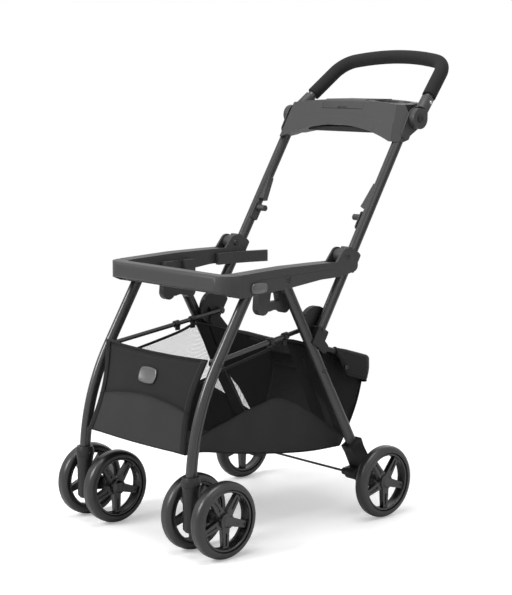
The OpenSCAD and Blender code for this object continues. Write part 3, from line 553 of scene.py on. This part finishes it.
def plate(name, place, out, wide, tall, thick):
    """A plain plate on the tray, with rounded ends and a raised border, without any mark."""
    bm = bmesh.new()
    bmesh.ops.create_circle(bm, cap_ends=True, segments=48, radius=0.5)
    for vert in bm.verts:
        reach = max(abs(vert.co.x), abs(vert.co.y)) / 0.5
        vert.co *= 1 + PLATE_SQUARE * (1 - reach) * 2
    bmesh.ops.scale(bm, verts=bm.verts[:], vec=(wide, tall, 1))
    top = bm.faces[:]
    steps = ((0.8 * thick, 0.0), (0.2 * thick, 0.06 * tall), (0.0, 0.05 * tall),
             (-0.15 * thick, 0.02 * tall))
    for lift, inset in steps:
        if inset:
            bmesh.ops.inset_region(bm, faces=top, thickness=inset, depth=0.0)
            verts = list({vert for face in top for vert in face.verts})
        else:
            made = bmesh.ops.extrude_face_region(bm, geom=top)["geom"]
            top, verts = only(BMFace, made), only(BMVert, made)
        bmesh.ops.translate(bm, verts=verts, vec=(0, 0, lift))
    bmesh.ops.recalc_face_normals(bm, faces=bm.faces[:])
    across = UP.cross(out).normalized()
    turn = Matrix((across, out.cross(across), out)).transposed().to_4x4()
    bmesh.ops.transform(bm, matrix=Matrix.Translation(place) @ turn, verts=bm.verts[:])
    return piece(name, bm, "plate", "tray")


def crumple(made):
    """Gives a piece a mesh of its own."""
    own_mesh(made)
    return made


# Outlines of the basket in side view millimetres: half width, place behind the front axle, height
FRONT_TOP = (167.0, 9.0, 398.0)
FRONT_LOW = (162.0, -46.0, 213.0)
REAR_LOW = (137.0, 422.0, 152.0)
REAR_TOP = (148.0, 485.0, 331.0)
SIDE_TOP = ((154, -4, 353), (154, 35, 362), (152, 60, 369), (150, 135, 384), (149, 200, 398),
            (148.8, 236, 409), (148.8, 262, 408), (149, 304, 396), (150, 369, 376), (150, 430, 356),
            REAR_TOP)
SIDE_LOW = ((161, -45, 212), (146, 16, 206), (139, 104, 187), (137, 217, 168), (137, 327, 155), REAR_LOW)
# How far the front panel's side edges curve in, its edges sag, and its cloth bellies and puckers
FRONT_PINCH, FRONT_TOP_SAG, FRONT_LOW_SAG, FRONT_BELLY, FRONT_PUCKER = 17.0, 5.0, 3.0, 7.0, 0.8
# Share of the front panel's height that a side is sewn to, and of the side's length that is drawn in
SIDE_JOIN, SIDE_SEWN = 0.76, 0.14
REAR_BELLY, REAR_BOW = 14.0, 5.0
# In metres
SIDE_BELLY, SIDE_PUCKER, FLOOR_SAG, FLOOR_THICK = 0.006, 0.0012, 0.004, 0.003
# Top of a panel's lighter lower part: height at its ends, rise, fullness
FRONT_ARCH = (0.41, 0.14, 0.8)
SIDE_ARCH = (0.11, 0.38, 1.1)
# Strap inside a side, in shares of its length, and the lining's parting behind it
STRAP_TOP, STRAP_SLANT, STRAP_WIDE = 0.505, 0.390, 0.07
PARTING, PARTING_TOP, PARTING_TAPER = 0.035, 0.62, 6
# Layers above a panel's own surface, in metres
PANEL_LIFT, LOWER_LIFT, BINDING_LIFT, SEAM_LIFT, PLATE_LIFT = 0.0012, 0.0016, 0.0026, 0.0032, 0.0014
LINING_LIFT, SIDE_SEAM_LIFT, FLAP_SEAM_LIFT = -0.0025, 0.0022, 0.0013
# Tapes, in metres, and places of seams, in shares of a panel's height
EDGE_TAPE, LOW_TAPE, TOP_TAPE, HEM_TAPE, PIPING = 0.005, 0.004, 0.006, 0.0034, 0.0022
FRONT_HEM, FRONT_SEAM, SIDE_SEAM, FLAP_SEAM = 0.945, 0.022, 0.035, 0.925
BINDING_WIDE = ((1.0, 0.955), (0.0, 0.045))

# Rear bar: half width, radius and the flap's bend round its corners, in millimetres
BAR_X, BAR_R, FLAP_BEND = 163.0, 6.0, 20.0
BAR_START, BAR_END = (341.3, 384.3), (485.0, 340.0)
BAR_SLOPE = math.atan2(BAR_END[1] - BAR_START[1], BAR_END[0] - BAR_START[0])
BAR_RUN = math.hypot(BAR_END[0] - BAR_START[0], BAR_END[1] - BAR_START[1])
FLAP_START, FLAP_TAPER, FLAP_INSIDE = 38.0, 35.0, 20.0
FLAP_CLEAR, FLAP_EASE, FLAP_BULGE, FLAP_LEAN = 2.2, 2.0, 3.0, 0.36
FLAP_HANG_END, FLAP_HANG = 8.0, 38.0
FLAP_SIDE, FLAP_CORNER = BAR_RUN - FLAP_BEND - FLAP_START, FLAP_BEND * math.pi / 2
FLAP_TOTAL = 2 * (FLAP_SIDE + FLAP_CORNER + (BAR_X - FLAP_BEND))
SNAP_OUT, SNAP_BACK, SNAP_DROP, SNAP_HEAD = 5.2, 26, 0.030, (0.006, 0.003)


def bar_place(x, run, rise=0.0):
    """A place on the plane of the rear bar: run along its slope, rise square to it."""
    y = BAR_START[0] + run * math.cos(BAR_SLOPE) - rise * math.sin(BAR_SLOPE)
    z = BAR_START[1] + run * math.sin(BAR_SLOPE) + rise * math.cos(BAR_SLOPE)
    return at(x, y, z)


def side_edge(s, marks):
    """An edge of a side of the basket, from the front panel to the rear bar."""
    return smooth_path([at(s * x, y, z) for x, y, z in marks])


def side_place(s, lift=0.0):
    """The surface of a side panel: u along it, v from the bottom up; it bellies out a little."""
    top, low, front = side_edge(s, SIDE_TOP), side_edge(s, SIDE_LOW), front_place()

    def place(u, v):
        point = along(low, u).lerp(along(top, u), v)
        held = min(1, 12 * u, 12 * (1 - u))
        belly = swell(v) * (0.45 + 0.55 * swell(u)) * held
        pucker = SIDE_PUCKER * math.sin(31 * u + 3 * v) * swell(v) * swell(u)
        point.x += s * (lift + SIDE_BELLY * belly + pucker)
        point.y += REAR_BELLY * MM * swell(v) * max(0, (u - 0.6) / 0.4) ** 2
        sewn = max(0, 1 - u / SIDE_SEWN) ** 2
        return point.lerp(front((1 + s) / 2, v * SIDE_JOIN), sewn)
    return place


def front_place(lift=0.0):
    """The surface of the front panel: u across it, v from the bottom up; its side edges curve in."""
    def place(u, v):
        side = 2 * u - 1
        half = FRONT_LOW[0] + (FRONT_TOP[0] - FRONT_LOW[0]) * v - FRONT_PINCH * swell(v)
        y = FRONT_LOW[1] + (FRONT_TOP[1] - FRONT_LOW[1]) * v
        z = FRONT_LOW[2] + (FRONT_TOP[2] - FRONT_LOW[2]) * v
        sag = 1 - side * side
        z -= FRONT_TOP_SAG * sag * v + FRONT_LOW_SAG * sag * (1 - v)
        y -= lift / MM + FRONT_BELLY * sag * swell(min(1, v * 0.9 + 0.05))
        y += FRONT_PUCKER * math.sin(17 * u + 2 * v) * swell(v) * sag
        return at(side * half, y, z)
    return place


def flap_line(u):
    """Centre of the rear bar, its outward direction and the way from the flap's nearer end, at a share."""
    run, flip = u * FLAP_TOTAL, 1
    if run > FLAP_TOTAL / 2:
        run, flip = FLAP_TOTAL - run, -1
    if run < FLAP_SIDE:
        x, y, nx, ny = BAR_X, FLAP_START + run, 1.0, 0.0
    elif run < FLAP_SIDE + FLAP_CORNER:
        a = (run - FLAP_SIDE) / FLAP_BEND
        nx, ny = math.cos(a), math.sin(a)
        x, y = BAR_X - FLAP_BEND + FLAP_BEND * nx, BAR_RUN - FLAP_BEND + FLAP_BEND * ny
    else:
        x, y, nx, ny = BAR_X - FLAP_BEND - (run - FLAP_SIDE - FLAP_CORNER), BAR_RUN, 0.0, 1.0
    return flip * x, y, flip * nx, ny, run


def flap_place(u, v):
    """The flap: up inside the bar, over it and down outside; it is shorter at its ends."""
    x, y, nx, ny, run = flap_line(u)
    near = min(1.0, run / FLAP_TAPER)
    reach = BAR_R + FLAP_CLEAR + FLAP_EASE * near
    hang = FLAP_HANG_END + FLAP_HANG * near * near * (3 - 2 * near)
    arc = math.pi * reach
    d = v * (FLAP_INSIDE + arc + hang)
    if d < FLAP_INSIDE:
        out, rise = -reach, d - FLAP_INSIDE
    elif d < FLAP_INSIDE + arc:
        a = (d - FLAP_INSIDE) / reach
        out, rise = -reach * math.cos(a), reach * math.sin(a)
    else:
        fall = d - FLAP_INSIDE - arc
        out, rise = reach + FLAP_BULGE * swell(fall / hang), -fall
    drop = min(0.0, rise)
    point = bar_place(x + nx * out, y + ny * out, max(0.0, rise))
    point.z += drop * MM
    point.y += FLAP_LEAN * drop * MM * ny
    return point


def flap_raised(u, v):
    """A place just above the flap's cloth."""
    nx, ny = flap_line(u)[2:4]
    return flap_place(u, v) + Vector((nx, ny, 0)) * FLAP_SEAM_LIFT


def arched(low, rise, fullness):
    """The top edge of a panel's lower part, higher in the middle."""
    def edge(u):
        return low + rise * swell(u) ** fullness
    return edge


def strip(place, left, right):
    """Part of a surface between two edges left(v) and right(v)."""
    def part(u, v):
        return place(left(v) + (right(v) - left(v)) * u, v)
    return part


def below(place, high):
    """Part of a surface from its bottom edge up to high(u)."""
    def part(u, v):
        return place(u, high(u) * v)
    return part


# Handle bow in its own plane: x across, z away from the pivot, in millimetres
LEAN = 31.1
HUB = turned(FOLD_SIDE, LEAN, 35.5, 359.0)
BOW_LEAN = LEAN + 16.8
BOW_R, BOW_CORNER, BOW_REACH, BOW_HALF, FLARE = 555.0, 55.0, 203.0, 115.0, math.radians(12.0)
BOW_A = math.asin(BOW_HALF / (BOW_R - BOW_CORNER))
CORNER_C = (BOW_HALF, BOW_REACH - BOW_R + (BOW_R - BOW_CORNER) * math.cos(BOW_A))
BOW_TOP = CORNER_C[1] + BOW_CORNER * math.sin(FLARE)
GRIP_LOW = 72.0
# Bore of the foam in metres, the taper of its ends, and the steps along a leg
GRIP_BORE, GRIP_TAPER, GRIP_STEPS = 0.0112, (0.94, 0.80), 6

# Fasteners and plates: places in side view millimetres, sizes in metres
ARM_FACE, ARM_PLATE, ARM_PLATE_SIZE, ARM_PLATE_RISE = 199.0, (122.0, 539.0), (0.044, 0.023), 0.0014
FRONT_PLATE, FRONT_PLATE_SIZE = (0.5, 0.75), (0.058, 0.035, 0.0024)
COLLAR_R, COLLAR_RIVET, COLLAR_HEAD = 19.7, (-46.0, 155.0), (0.0038, 0.0018)
TUBE_SCREW, SCREW_OUT, SCREW_HEAD, SCREW_SOCKET = (25.0, -165.0), 12.0, (0.0045, 0.0022), 0.0008
PIN_RISE, SLEEVE_R, PIN_HEAD = 52.0, 14.4, (0.0042, 0.0024)


def bow_leg_x(rise):
    """Distance of the bow's leg from the centre plane at a height along the bow."""
    return CORNER_C[0] + BOW_CORNER * math.cos(FLARE) + (BOW_TOP - rise) * math.tan(FLARE)


def bow_turn():
    """The turn and move that set the bow's own plane in place."""
    return Matrix.Translation(at(0, *HUB)) @ Matrix.Rotation(-math.radians(BOW_LEAN), 4, "X")


def extrude_ring(bm, edges):
    """Extrudes a ring of edges and returns the new ring's vertices and edges."""
    made = bmesh.ops.extrude_edge_only(bm, edges=edges)["geom"]
    verts = only(BMVert, made)
    return verts, [edge for edge in only(BMEdge, made) if all(v in verts for v in edge.verts)]


# Operators, one for each group of pieces

# Soft lights: name, place, size and power; all look at the middle of the frame
LIGHTS = (("key", (-0.7, -3.0, 2.3), 1.5, 88.0), ("fill", (3.2, 0.6, 1.9), 2.2, 12.0),
          ("top", (0.2, -0.4, 3.4), 2.2, 60.0), ("rim", (-1.0, 2.8, 2.0), 1.6, 16.0))
LIT = Vector((0, 0, 0.5))
FLOOR_HALF, FLOOR_DROP = 14, 0.0005


class STROLLER_OT_stage(bpy.types.Operator):
    """Sets the camera, the pale floor and the soft studio light"""
    bl_idname = "stroller.stage"
    bl_label = "Stage"

    def execute(self, context):
        scene = context.scene
        settings = scene.stroller_stage
        scene.view_settings.view_transform = "Standard"
        data = bpy.data.cameras.new("camera")
        data.lens = settings.lens
        data.sensor_width = 36
        data.sensor_fit = "AUTO"
        data.clip_end = 60
        camera = bpy.data.objects.new("camera", data)
        camera.location = settings.camera_place
        camera.rotation_euler = Vector(settings.camera_ahead).to_track_quat("-Z", "Y").to_euler()
        scene.collection.objects.link(camera)
        scene.camera = camera
        self.world(scene, settings)
        self.floor(scene, settings)
        for name, place, size, power in LIGHTS:
            light = bpy.data.lights.new(name, "AREA")
            light.shape = "DISK"
            light.size = size
            light.energy = power
            lamp = bpy.data.objects.new(name, light)
            lamp.location = place
            lamp.rotation_euler = (LIT - Vector(place)).to_track_quat("-Z", "Y").to_euler()
            scene.collection.objects.link(lamp)
        return {"FINISHED"}

    def world(self, scene, settings):
        """Even white light, plain white where it is seen or mirrored."""
        scene.world = bpy.data.worlds.new("studio")
        scene.world.use_nodes = True
        tree = scene.world.node_tree
        sky = tree.nodes["Background"]
        path = add(tree, "LightPath")
        seen = math_node(tree, "MAXIMUM", path.outputs["Is Camera Ray"], math_node(
            tree, "MAXIMUM", path.outputs["Is Transmission Ray"], path.outputs["Is Glossy Ray"]))
        strength = math_node(tree, "MULTIPLY_ADD", seen, 1.0 - settings.sky_light, settings.sky_light)
        dial(sky, Color=(1, 1, 1, 1))
        join(strength, sky.inputs["Strength"])

    def floor(self, scene, settings):
        """The floor, which keeps the shadow close by and fades to the plain white of the backdrop."""
        bm = bmesh.new()
        bmesh.ops.create_grid(bm, x_segments=2, y_segments=2, size=FLOOR_HALF)
        mesh = bpy.data.meshes.new("floor")
        bm.to_mesh(mesh)
        bm.free()
        floor = bpy.data.objects.new("floor", mesh)
        floor.location = (0, 0, -FLOOR_DROP)
        scene.collection.objects.link(floor)
        material, tree, shader = new_material("pale floor")
        dial(shader, Base_Color=(*settings.floor_colour, 1), Roughness=0.55, Specular_IOR_Level=0.2,
             Emission_Color=(1, 1, 1, 1))
        seen = add(tree, "LightPath").outputs["Is Camera Ray"]
        join(math_node(tree, "MULTIPLY", seen, settings.floor_glow), shader.inputs["Emission Strength"])
        far = add(tree, "VectorMath", operation="LENGTH")
        join(add(tree, "TexCoord").outputs["Object"], far.inputs[0])
        near, clear = settings.floor_clear
        fade = add(tree, "MapRange", interpolation_type="SMOOTHSTEP", in_1=near, in_2=clear)
        join(far.outputs["Value"], fade.inputs[0])
        white = add(tree, "Emission", in_Strength=1.0)
        mix = add(tree, "MixShader")
        plain = math_node(tree, "MULTIPLY", fade.outputs[0], seen)
        for index, source in enumerate((plain, shader.outputs[0], white.outputs[0])):
            join(source, mix.inputs[index])
        join(mix.outputs[0], tree.nodes["Material Output"].inputs["Surface"])
        mesh.materials.append(material)


# Rigid finishes: slot, name, roughness, grains in a metre, depth of the grain, and what else differs
HARD_FINISHES = (
    # wear is the strength of the highlight painted on a finish's edges
    ("moulding", "satin graphite moulding", 0.48, 1500.0, 0.12, dict(specular=0.38, wear=0.9)),
    ("black_plastic", "black moulding", 0.42, 1500.0, 0.10, dict(specular=0.3, wear=0.6)),
    ("tube", "gunmetal coating", 0.25, 2600.0, 0.05, dict(metallic=0.4, specular=0.6)),
    ("steel", "plated steel", 0.30, 1800.0, 0.06, dict(metallic=1.0, tone=0.3)),
    ("bright", "bright steel", 0.26, 1800.0, 0.05, dict(metallic=1.0, tone=0.2)),
    ("rim", "black rim plastic", 0.28, 1400.0, 0.10, dict(specular=0.65, wear=0.8)),
    ("tyre", "black tyre foam", 0.36, 800.0, 0.20, dict(tone=0.3, spread=0.16, specular=0.6)),
    ("foam", "handle foam", 0.92, 1100.0, 0.9, dict(tone=0.5, specular=0.2)),
    ("plate", "plain grey plate", 0.38, 1600.0, 0.08, dict(metallic=0.6)),
)
CLOTH_FINISHES = (("upper", "dark charcoal cloth", {}), ("lower", "grey cloth", {}),
                  ("binding", "edge tape", dict(yarn=0.0008, sheen=0.06)),
                  ("thread", "sewing thread", dict(yarn=0.0005)))
WELD = 0.00002
SOFT_ANGLE = math.radians(40)


class STROLLER_OT_finishes(bpy.types.Operator):
    """Makes the materials, gives every node its finish and softens the edges of the mouldings, black plastic and
    rims
    """
    bl_idname = "stroller.finishes"
    bl_label = "Finishes"

    def execute(self, context):
        look = context.scene.stroller_finish
        cloth = context.scene.stroller_cloth
        GROUPS.update(grain=grain_group(), wear=wear_group(), weave=weave_group(), net=net_group())
        for key, name, roughness, grain, bump, values in HARD_FINISHES:
            base = cloth.foam if key == "foam" else getattr(look, key)
            MATERIALS[key] = hard_material(name, base, roughness, grain, bump, **values)
        for key, name, values in CLOTH_FINISHES:
            MATERIALS[key] = cloth_material(name, getattr(cloth, key), **values)
        MATERIALS["net"] = net_material("net", cloth.net, cloth.net_pitch, cloth.net_open)
        slots = {row["node"]: row["material_slot"] for row in frame["record"]["subparts"]}
        for name, node in frame["nodes"].items():
            slot = slots[name]
            finish = MATERIALS.get(slot) or MATERIALS["upper"]
            node.data.materials.clear()
            node.data.materials.append(finish)
            if slot in ("moulding", "black_plastic", "rim"):
                weld = node.modifiers.new("weld", "WELD")
                weld.merge_threshold = WELD
                bevel = node.modifiers.new("soft edges", "BEVEL")
                bevel.width = look.edge_round
                bevel.segments = 2
                bevel.limit_method = "ANGLE"
                bevel.angle_limit = SOFT_ANGLE
        return {"FINISHED"}


class STROLLER_OT_basket(bpy.types.Operator):
    """Makes the cloth basket: front panel, net sides, rear wall, floor, tapes and seams"""
    bl_idname = "stroller.basket"
    bl_label = "Basket"

    def execute(self, context):
        thick = context.scene.stroller_cloth.cloth_thickness
        holders = ["front_leg_left", "front_leg_right", "link_clips", "basket_bar"]
        parts = self.front(thick, holders)
        for s, label in SIDES:
            parts += self.side(s, label, thick, holders)
        parts += self.rear(thick, holders)
        for made in parts:
            crumple(made)
        return {"FINISHED"}

    def front(self, thick, holders):
        """The front panel with its curved lower part, bound edges and seams."""
        arch = arched(*FRONT_ARCH)
        edge, raised, hemmed = front_place(), front_place(SEAM_LIFT), front_place(PANEL_LIFT)
        run = shares(60, 0.05, 0.9)
        trims = [tape("basket_front_top_tape", [edge(u, 1.0) for u in shares(24)], EDGE_TAPE),
                 tape("basket_front_low_tape", [edge(u, 0.0) for u in shares(24)], LOW_TAPE),
                 stitches("basket_front_hem", [hemmed(u, FRONT_HEM) for u in run])]
        seams = [tape("basket_front_piping", [raised(u, arch(u)) for u in shares(48)], PIPING),
                 stitches("basket_front_seam", [raised(u, arch(u) - FRONT_SEAM) for u in run])]
        bindings = []
        for (_, label), (rim, inner) in zip(SIDES, BINDING_WIDE):
            left, right = sorted((rim, inner))
            bound = strip(front_place(BINDING_LIFT), lambda v: left, lambda v: right)
            bindings.append(cloth_piece(f"basket_front_binding_{label}", bound, 4, 28, "binding",
                                        thickness=thick, rests_on=["basket_front"]))
            trims.append(tape(f"basket_front_tape_{label}", [edge(rim, v) for v in shares(20)], EDGE_TAPE))
        panel = cloth_piece("basket_front", front_place(), 44, 28, "upper", thickness=thick,
                            rests_on=holders, trims=trims)
        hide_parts("basket")
        low = cloth_piece("basket_front_low", below(front_place(LOWER_LIFT), arch), 44, 18, "lower",
                          thickness=thick, rests_on=["basket_front"], trims=seams)
        return [panel, low, *bindings, *trims, *seams]

    def side(self, s, label, thick, holders):
        """One side: net, a curved lower panel, a strap and a parted lining behind the net, and tapes."""
        arch = arched(*SIDE_ARCH)

        def strap_front(v):
            return STRAP_TOP + STRAP_SLANT * (1 - v)

        def strap_rear(v):
            return min(1.0, strap_front(v) + STRAP_WIDE)

        def parted(v):
            opened = PARTING * max(0.0, min(1.0, (PARTING_TOP - v) * PARTING_TAPER))
            return min(0.999, strap_front(v) + STRAP_WIDE + opened)
        net = f"basket_net_{label}"
        lined = dict(material="upper", thickness=thick, rests_on=[net])
        inside, outside = side_place(s, LINING_LIFT), side_place(s, SIDE_SEAM_LIFT)
        trims = [tape(f"basket_top_tape_{label}", side_edge(s, SIDE_TOP), TOP_TAPE),
                 tape(f"basket_low_tape_{label}", side_edge(s, SIDE_LOW), LOW_TAPE)]
        seams = [tape(f"basket_side_piping_{label}", [outside(u, arch(u)) for u in shares(48)], PIPING),
                 stitches(f"basket_side_seam_{label}",
                          [outside(u, arch(u) - SIDE_SEAM) for u in shares(60, 0.04, 0.92)])]
        return [
            *trims,
            *seams,
            cloth_piece(net, side_place(s), 64, 30, "net", rests_on=holders, trims=trims),
            cloth_piece(f"basket_side_{label}", below(side_place(s, PANEL_LIFT), arch), 52, 14, "lower",
                        thickness=thick, rests_on=[net], trims=seams),
            cloth_piece(f"basket_strap_{label}", strip(inside, strap_front, strap_rear), 6, 24, **lined),
            cloth_piece(f"basket_lining_{label}", strip(inside, parted, lambda v: 1.0), 24, 24, **lined),
        ]

    def rear(self, thick, holders):
        """The floor and the slanted rear wall."""
        left, right = side_edge(1, SIDE_LOW), side_edge(-1, SIDE_LOW)

        def floor(u, v):
            point = along(right, v).lerp(along(left, v), u)
            point.z -= FLOOR_SAG * swell(u) * swell(v)
            return point

        def wall(u, v):
            side = 2 * u - 1
            bow = 1 - side * side
            point = at(side * REAR_LOW[0], *REAR_LOW[1:]).lerp(at(side * REAR_TOP[0], *REAR_TOP[1:]), v)
            point.y += (REAR_BELLY + REAR_BOW * bow) * MM * swell(v)
            return point
        trims = [tape(f"basket_rear_tape_{label}", [wall((1 + s) / 2, v) for v in shares(16)], LOW_TAPE)
                 for s, label in SIDES]
        return [
            *trims,
            cloth_piece("basket_floor", floor, 24, 30, "upper", thickness=FLOOR_THICK, held="laid",
                        rests_on=holders),
            cloth_piece("basket_rear", wall, 28, 18, "upper", thickness=thick, rests_on=holders,
                        trims=trims),
        ]


class STROLLER_OT_flap(bpy.types.Operator):
    """Makes the cloth flap that wraps the rear bar, with its hem and snaps"""
    bl_idname = "stroller.flap"
    bl_label = "Rear flap"

    def execute(self, context):
        thick = context.scene.stroller_cloth.cloth_thickness
        down = shares(12)[3:12]
        rim = ([flap_place(0.0, v) for v in down] + [flap_place(u, 1.0) for u in shares(120)]
               + [flap_place(1.0, v) for v in reversed(down)])
        trims = [tape("flap_hem", rim, HEM_TAPE, body="push_frame"),
                 stitches("flap_seam", [flap_raised(u, FLAP_SEAM) for u in shares(120, 0.04, 0.92)],
                          body="push_frame")]
        for s, label in SIDES:
            spot = bar_place(s * (BAR_X + BAR_R + SNAP_OUT), FLAP_START + SNAP_BACK)
            spot.z -= SNAP_DROP
            trims.append(dome(f"flap_snap_{label}", spot, Vector((s, 0, 0)), SNAP_HEAD, "push_frame"))
        cloth_piece("basket_flap", flap_place, 120, 34, "upper", body="push_frame", thickness=thick,
                    held="folded", rests_on=["basket_bar"], trims=trims)
        return {"FINISHED"}


class STROLLER_OT_grip(bpy.types.Operator):
    """Makes the foam grip on the handle bow"""
    bl_idname = "stroller.grip"
    bl_label = "Foam grip"

    def execute(self, context):
        radius = context.scene.stroller_cloth.foam_radius
        bm = bmesh.new()
        bmesh.ops.create_circle(bm, cap_ends=False, segments=28, radius=radius)
        low = Matrix.Translation((bow_leg_x(GRIP_LOW) * MM, 0, GRIP_LOW * MM))
        bmesh.ops.transform(bm, matrix=low @ Matrix.Rotation(-FLARE, 4, "Y"), verts=bm.verts[:])
        up = Vector((-math.sin(FLARE), 0, math.cos(FLARE)))
        down = Vector((-math.sin(FLARE), 0, -math.cos(FLARE)))
        length = (BOW_TOP - GRIP_LOW) / math.cos(FLARE) * MM
        first = edges = bm.edges[:]

        def leg(edges, way):
            for _ in range(GRIP_STEPS):
                verts, edges = extrude_ring(bm, edges)
                bmesh.ops.translate(bm, verts=verts, vec=way * length / GRIP_STEPS)
            return edges

        def sweep(edges, centre, angle, steps):
            made = bmesh.ops.spin(bm, geom=edges, cent=(centre[0] * MM, 0, centre[1] * MM), axis=(0, -1, 0),
                                  angle=angle, steps=steps, use_merge=False, use_duplicate=False)
            return only(BMEdge, made["geom_last"])
        corner = math.pi / 2 - BOW_A - FLARE
        edges = leg(edges, up)
        edges = sweep(edges, CORNER_C, corner, 10)
        edges = sweep(edges, (0.0, BOW_REACH - BOW_R), 2 * BOW_A, 28)
        edges = sweep(edges, (-CORNER_C[0], CORNER_C[1]), corner, 10)
        edges = leg(edges, down)
        # Rounded, slightly puckered ends that close on the tube
        outer, middle = GRIP_TAPER
        rings = ((outer, 0.0012), (middle, 0.0006), (GRIP_BORE / radius / outer / middle, -0.0008))
        for current, out in ((first, -up), (edges, down)):
            for shrink, push in rings:
                verts, current = extrude_ring(bm, current)
                centre = sum((v.co for v in verts), Vector()) / len(verts)
                for v in verts:
                    v.co = centre + (v.co - centre) * shrink + out * push
            bmesh.ops.holes_fill(bm, edges=current, sides=0)
        bmesh.ops.recalc_face_normals(bm, faces=bm.faces[:])
        bmesh.ops.transform(bm, matrix=bow_turn(), verts=bm.verts[:])
        grip = piece("foam_grip", bm, "foam", "handle")
        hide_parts("handle_grip")
        return {"FINISHED"}


class STROLLER_OT_fasteners(bpy.types.Operator):
    """Adds the small screws, the snap pins and the plain plates that show on the frame"""
    bl_idname = "stroller.fasteners"
    bl_label = "Fasteners and plates"

    def execute(self, context):
        turn = bow_turn()
        screw = turned(FOLD_SIDE, LEAN, *TUBE_SCREW)
        pin = bow_leg_x(PIN_RISE) + SLEEVE_R * math.cos(FLARE)
        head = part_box("arm_rivets")[1][0] - ARM_FACE * MM
        for s, label in SIDES:
            out = Vector((s, 0, 0))
            dome(f"tube_screw_{label}", at(s * (SIDE_X + SCREW_OUT), *screw), out, SCREW_HEAD,
                 "push_frame", socket=SCREW_SOCKET)
            for way, end in ((1, "outer"), (-1, "inner")):
                dome(f"collar_rivet_{label}_{end}", at(s * (SIDE_X + way * COLLAR_R), *COLLAR_RIVET),
                     out * way, COLLAR_HEAD, "front_legs")
            plate(f"arm_plate_{label}", at(s * ARM_FACE, *ARM_PLATE), out, *ARM_PLATE_SIZE,
                  head + ARM_PLATE_RISE)
            side = Vector((s * math.cos(FLARE), 0, math.sin(FLARE)))
            dome(f"sleeve_pin_{label}", turn @ Vector((s * pin * MM, 0, PIN_RISE * MM)),
                 turn.to_3x3() @ side, PIN_HEAD, "handle", material="bright")
        cloth = front_place(PLATE_LIFT)
        u, v = FRONT_PLATE
        across, rising = cloth(u + 0.05, v) - cloth(u - 0.05, v), cloth(u, v + 0.1) - cloth(u, v - 0.1)
        crumple(plate("front_plate", cloth(u, v), across.cross(rising).normalized(), *FRONT_PLATE_SIZE))
        return {"FINISHED"}


class STROLLER_PT_panel(bpy.types.Panel):
    """Lists the steps that dress the stroller frame"""
    bl_idname = "STROLLER_PT_panel"
    bl_label = "Stroller frame"
    bl_space_type = "VIEW_3D"
    bl_region_type = "UI"
    bl_category = "Stroller"

    def draw(self, context):
        layout = self.layout
        for step in STEPS:
            layout.operator(step.bl_idname)
        for name in SETTINGS:
            group = getattr(context.scene, name)
            for key in group.__annotations__:
                layout.prop(group, key)


STEPS = (STROLLER_OT_stage, STROLLER_OT_finishes, STROLLER_OT_basket, STROLLER_OT_flap, STROLLER_OT_grip,
         STROLLER_OT_fasteners)
SETTINGS = {"stroller_stage": StageSettings, "stroller_finish": FinishSettings,
            "stroller_cloth": ClothSettings}


def register():
    for kind in (*SETTINGS.values(), *STEPS, STROLLER_PT_panel):
        bpy.utils.register_class(kind)
    for name, kind in SETTINGS.items():
        setattr(bpy.types.Scene, name, bpy.props.PointerProperty(type=kind))


def unregister():
    for name in SETTINGS:
        delattr(bpy.types.Scene, name)
    for kind in (STROLLER_PT_panel, *reversed(STEPS), *SETTINGS.values()):
        bpy.utils.unregister_class(kind)


def main():
    register()
    bpy.ops.stroller.stage()
    bpy.ops.stroller.finishes()
    bpy.ops.stroller.basket()
    bpy.ops.stroller.flap()
    bpy.ops.stroller.grip()
    bpy.ops.stroller.fasteners()


if __name__ == "__main__":
    main()
